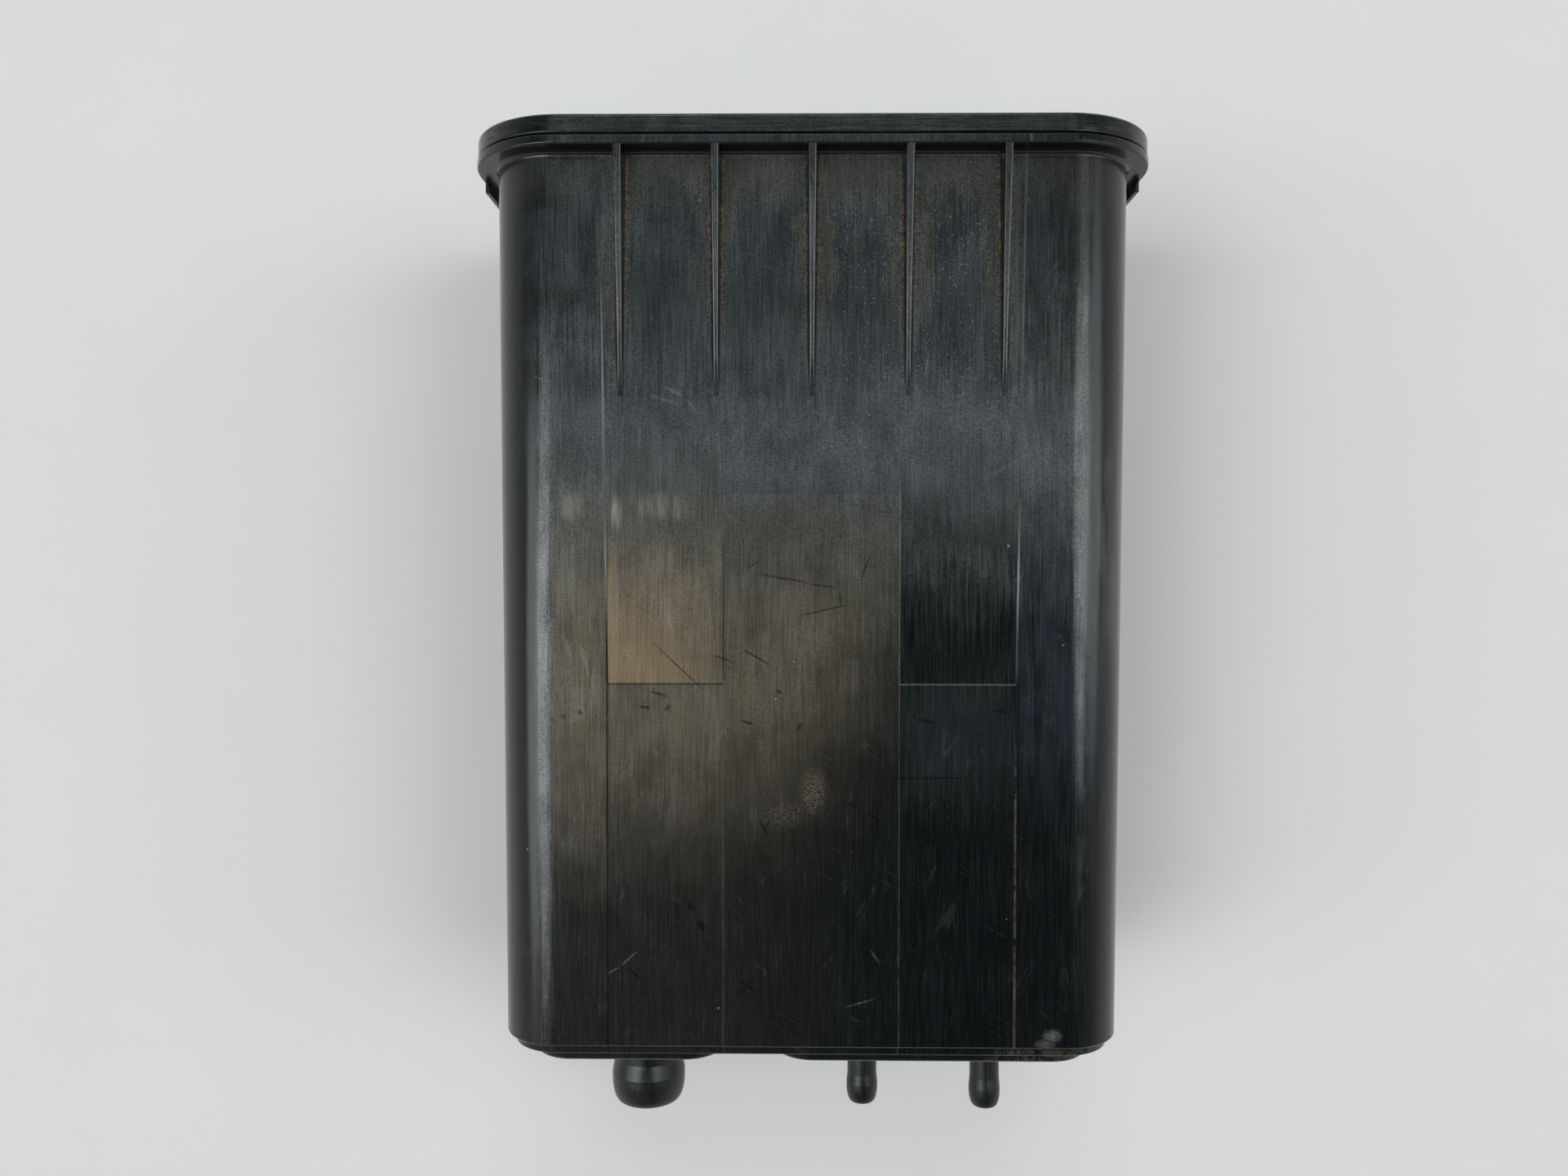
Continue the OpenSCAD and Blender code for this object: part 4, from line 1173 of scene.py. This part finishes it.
class CANISTER_OT_cover(bpy.types.Operator):
    """Builds the welded cover with its locating wall and spring seats"""
    bl_idname = "canister.cover"
    bl_label = "Cover"

    def execute(self, context):
        settings = context.scene.canister
        sizes = measured(settings)
        case, cover, s = sizes.case, sizes.cover, sizes.s
        bm = bmesh.new()
        self.plate(bm, case, cover, s)
        for name in INNER_NODES:
            if "spring" in name:
                self.seat(bm, cover, *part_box(name))
        piece = linked("welded_cover", bm)
        smoothed(piece)
        material = worn_plastic("worn cover plastic", settings, COVER_DRAWN)
        fitted(piece, material, "moulded_plastic", "cover")
        return {"FINISHED"}

    def plate(self, bm, case, cover, s):
        """Plate with its sunk field, rim, weld and locating wall."""
        core = (case.core_x, case.core_y)
        outline = around((0, 0), core, CORNER_STEPS)
        eased = around((0, 0), [c - case.flange_ease for c in core], CORNER_STEPS)
        full = case.corner + case.flange_out + case.flange_ease
        rim, weld, field = full - cover.inset, full - cover.weld_in, full - cover.rim
        face, crest = cover.thickness, s.flange + cover.spigot_h
        out = s.corner(face) - case.wall - cover.slack
        back = out - cover.spigot_t
        rows = rounded([
            (field - LEDGE, cover.pocket, 0), (field, cover.pocket, ROUND.pocket_foot),
            (field, 0, ROUND.pocket_rim), (rim, 0, ROUND.cover_face), (rim, face, ROUND.cover_joint),
            (weld, face, 0), (weld, s.flange, 0), (weld - cover.weld_w, s.flange, 0),
            (weld - cover.weld_w, face, 0),
        ])
        plug = rounded([
            (out + LEAD, face, 0), (out, face, ROUND.wall_foot), (out - SPIGOT_LEAN, crest, ROUND.wall_crest),
            (back, crest, ROUND.wall_crest), (back, face, ROUND.wall_foot), (back - LEDGE, face, 0),
        ])[1:]
        plate, wall = sweep(bm, rows, eased), sweep(bm, plug, outline)
        bridge(bm, plate[-1], wall[0])
        cap(bm, plate[0])
        cap(bm, wall[-1])

    def seat(self, bm, cover, low, high):
        """Ring that holds the foot of a spring, given the spring's box."""
        middle = ((low.x + high.x) * 500, (low.z + high.z) * 500 - HEIGHT / 2)
        inner = cover.spring_d / 2 + cover.spring_gap
        outer = inner + cover.seat_t
        foot, top = cover.thickness - SEAT_SINK, cover.thickness + cover.seat_h
        rows = rounded([
            (inner, foot, 0), (inner, top, ROUND.seat), (outer, top, ROUND.seat), (outer, foot, 0),
        ], 3)
        rings = sweep(bm, rows, circle(middle))
        bridge(bm, rings[-1], rings[0])


class CANISTER_OT_webs(bpy.types.Operator):
    """Lays the webs between the cover's pockets with Geometry Nodes"""
    bl_idname = "canister.webs"
    bl_label = "Cover webs"

    def execute(self, context):
        settings = context.scene.canister
        sizes = measured(settings)
        case, cover = sizes.case, sizes.cover
        field = case.corner + case.flange_out - cover.rim
        wide, deep = 2 * (case.core_x + field), 2 * (case.core_y + field)
        tall = cover.pocket + WEB_BED
        material = worn_plastic("worn cover plastic", settings, COVER_DRAWN)
        piece = linked("cover_webs", bmesh.new())
        lengths = {
            "Web": cover.web, "Height": tall, "Wide": wide + 2 * WEB_BED, "Deep": deep + 2 * WEB_BED,
            "Pitch across": (wide + cover.web) / (WEBS_ACROSS + 1),
            "Pitch up": (deep + cover.web) / (WEBS_UP + 1),
        }
        inputs = {name: mm / 1000 for name, mm in lengths.items()}
        inputs["Middle"] = place(0, 0, tall / 2 + WEB_DROP)
        repeated(piece, self.web_tree(material), inputs)
        ease = piece.modifiers.new("eased edges", "BEVEL")
        ease.width = ROUND.web / 1000
        ease.segments = 2
        settled(piece)
        smoothed(piece)
        fitted(piece, material, "moulded_plastic")
        return {"FINISHED"}

    def web_tree(self, material):
        """Geometry Nodes that lay bars across the cover's field in both directions."""
        floats = ["Web", "Height", "Wide", "Deep", "Pitch across", "Pitch up"]
        g = Rows("web rows", "Webs", Float=floats, Vector=["Middle"])
        given = g.given
        rows = (
            ("X", "Z", WEBS_ACROSS, "Pitch across", "Deep", 0),
            ("Z", "X", WEBS_UP, "Pitch up", "Wide", WEB_SINK / 1000),
        )
        for axis, along, count, pitch, run, sink in rows:
            size = g.made("ShaderNodeCombineXYZ", {
                "Y": given["Height"], axis: given["Web"], along: given[run],
            })
            bar = g.made("GeometryNodeMeshCube", {"Size": size})
            step = g.made("ShaderNodeCombineXYZ", {axis: given[pitch]})
            back = g.made("ShaderNodeVectorMath", {0: step, "Scale": -(count - 1) / 2}, operation="SCALE")
            start = g.made("ShaderNodeVectorMath", {0: back, 1: given["Middle"]})
            lower = g.made("ShaderNodeVectorMath", {0: start, 1: (0, -sink, 0)})
            line = g.made("GeometryNodeMeshLine", {"Count": count, "Start Location": lower, "Offset": step})
            g.stand(bar, line)
        return g.done(material)


class CANISTER_OT_filling(bpy.types.Operator):
    """Paints the felts, the carbon beds, the grid plates and the springs"""
    bl_idname = "canister.filling"
    bl_label = "Filling"

    def execute(self, context):
        finish = context.scene.canister.finish
        paints = {
            "felt": felt_finish("port felt", rgb(finish, "felt")),
            "bed": carbon_finish("carbon pellets", rgb(finish, "carbon")),
            "plate": grid_finish("grid plastic", rgb(finish, "grid")),
            "spring": wire_finish("spring wire", rgb(finish, "steel")),
        }
        for name in INNER_NODES:
            kind = next(k for k in paints if k in name)
            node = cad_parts[name]
            node.data.materials.clear()
            node.data.materials.append(paints[kind])
        return {"FINISHED"}


# Floor, in metres: it drops away from the flange's edge towards the port end, and lies just below both
FLOOR_REACH = 40.0
FLOOR_SLOPE = 7.71 / 211.0
FLANGE_EDGE = 0.1189
FLOOR_GAP = 0.00004

# Room light: heights from the horizon up to overhead, and how bright the room is there
SKY = ((0.0, 0.66), (0.2, 0.62), (0.32, 0.38), (0.5, 0.25), (0.85, 0.06), (1.0, 0.04))
SKY_STRENGTH = 0.9

# Far lights: name, where they stand, how wide they look in degrees, and strength
FAR_TINT = (0.93, 0.985, 1.0)
FAR_LIGHTS = (
    ("soft light left", (-0.475, -0.09, 0.875), 29, 0.45),
    ("middle light left", (-0.515, -0.09, 0.853), 24, 0.28),
    ("core light left", (-0.55, -0.09, 0.83), 19, 0.15),
    ("low light left", (-0.79, -0.10, 0.61), 26, 0.41),
    ("soft light right", (0.54, 0.065, 0.84), 26, 0.66),
    ("low light right", (0.84, 0.065, 0.54), 26, 0.27),
    ("fill behind", (0.0, 0.72, 0.69), 30, 0.42),
)

# Panels above: name, place and size in metres, and power in watts
PANEL_TINT = (0.85, 0.985, 1.0)
PANEL_LIGHTS = (
    ("panel above", (0.0, 0.49, 1.35), (1.1, 0.54), 1.1),
    ("strip above", (0.0, 0.155, 1.35), (1.2, 0.15), 1.4),
)

# Camera: sensor and lens in millimetres, place in metres, turns in radians
SENSOR_WIDTH = 36
FOCAL_LENGTH = 27.1
CLIP_START = 0.01
CAMERA_PLACE = (-0.0033, 0.0188, 0.3788)
CAMERA_TURN = (-0.0079, 0.0115, 0.0016)


class CANISTER_OT_stage(bpy.types.Operator):
    """Sets the floor, the soft studio light and the camera"""
    bl_idname = "canister.stage"
    bl_label = "Stage"

    def execute(self, context):
        scene = context.scene
        scene.view_settings.view_transform = "Standard"
        self.floor(scene)
        self.world(scene)
        for lamp in FAR_LIGHTS:
            self.far_light(scene, *lamp)
        for lamp in PANEL_LIGHTS:
            self.panel_light(scene, *lamp)
        self.camera(scene)
        return {"FINISHED"}

    def floor(self, scene):
        """Pale floor, tilted so that the flange's edge and the port end both lie on it."""
        corners = [(x * FLOOR_REACH, y * FLOOR_REACH) for x, y in ((-1, -1), (1, -1), (1, 1), (-1, 1))]
        points = [(x, y, (FLANGE_EDGE - y) * FLOOR_SLOPE - FLOOR_GAP) for x, y in corners]
        mesh = bpy.data.meshes.new("studio_floor")
        mesh.from_pydata(points, [], [(0, 1, 2, 3)])
        floor = bpy.data.objects.new("studio_floor", mesh)
        scene.collection.objects.link(floor)
        f = Finish("pale floor paint")
        pale = rgb(scene.canister.finish, "floor")
        shade = f.mix(f.noise(0.02, 3, 0.6), times(pale, 0.97), pale)
        floor.data.materials.append(f.done(shade, 0.75))

    def world(self, scene):
        """Soft room light, brightest near the horizon."""
        world = bpy.data.worlds.new("soft studio")
        world.use_nodes = True
        scene.world = world
        world.node_tree.nodes.clear()
        w = Nodes(world.node_tree)
        where = w.node("ShaderNodeTexCoord").outputs["Generated"]
        rise = w.node("ShaderNodeSeparateXYZ", {0: where}).outputs["Z"]
        ramp = w.node("ShaderNodeValToRGB", {"Fac": rise})
        stops = ramp.color_ramp.elements
        while len(stops) < len(SKY):
            stops.new(0.5)
        for stop, (at, grey) in zip(stops, SKY):
            stop.position = at
            stop.color = (grey, grey, grey, 1)
        sky = w.node("ShaderNodeBackground", {"Color": ramp.outputs["Color"], "Strength": SKY_STRENGTH})
        w.node("ShaderNodeOutputWorld", {"Surface": sky.outputs[0]})

    def far_light(self, scene, name, towards, angle, strength):
        """Large soft light far off, the same all over the floor."""
        light = bpy.data.lights.new(name, "SUN")
        light.angle, light.energy, light.color = radians(angle), strength, FAR_TINT
        lamp = bpy.data.objects.new(name, light)
        lamp.location = Vector(towards) * 2
        lamp.rotation_euler = (-Vector(towards)).to_track_quat("-Z", "Y").to_euler()
        scene.collection.objects.link(lamp)

    def panel_light(self, scene, name, at, size, power):
        """Panel that hangs level above the canister."""
        light = bpy.data.lights.new(name, "AREA")
        light.shape = "RECTANGLE"
        light.size, light.size_y = size
        light.energy, light.color = power, PANEL_TINT
        lamp = bpy.data.objects.new(name, light)
        lamp.location = at
        scene.collection.objects.link(lamp)

    def camera(self, scene):
        """Camera above the front face."""
        lens = bpy.data.cameras.new("overhead camera")
        lens.sensor_fit = "HORIZONTAL"
        lens.sensor_width = SENSOR_WIDTH
        lens.lens = FOCAL_LENGTH
        lens.clip_start = CLIP_START
        camera = bpy.data.objects.new("overhead camera", lens)
        camera.location = CAMERA_PLACE
        camera.rotation_euler = CAMERA_TURN
        scene.collection.objects.link(camera)
        scene.camera = camera


class CANISTER_PT_panel(bpy.types.Panel):
    """Lists the canister's pieces in the sidebar"""
    bl_idname = "CANISTER_PT_panel"
    bl_label = "Charcoal canister"
    bl_space_type = "VIEW_3D"
    bl_region_type = "UI"
    bl_category = "Canister"

    def draw(self, context):
        for operator in OPERATORS:
            self.layout.operator(operator.bl_idname)
        settings = context.scene.canister
        for name in settings.__annotations__:
            box = self.layout.box()
            box.label(text=name.capitalize())
            group = getattr(settings, name)
            for field in group.__annotations__:
                box.prop(group, field)


GROUPS = (CanisterCase, CanisterRibs, CanisterPorts, CanisterCover, CanisterFinish, CanisterSettings)
OPERATORS = (
    CANISTER_OT_case, CANISTER_OT_ribs, CANISTER_OT_cover, CANISTER_OT_webs, CANISTER_OT_filling,
    CANISTER_OT_stage,
)


def register():
    for cls in (*GROUPS, *OPERATORS, CANISTER_PT_panel):
        bpy.utils.register_class(cls)
    bpy.types.Scene.canister = PointerProperty(type=CanisterSettings)


def unregister():
    del bpy.types.Scene.canister
    for cls in reversed((*GROUPS, *OPERATORS, CANISTER_PT_panel)):
        bpy.utils.unregister_class(cls)


def main():
    register()
    bpy.ops.canister.case()
    bpy.ops.canister.ribs()
    bpy.ops.canister.cover()
    bpy.ops.canister.webs()
    bpy.ops.canister.filling()
    bpy.ops.canister.stage()


if __name__ == "__main__":
    main()
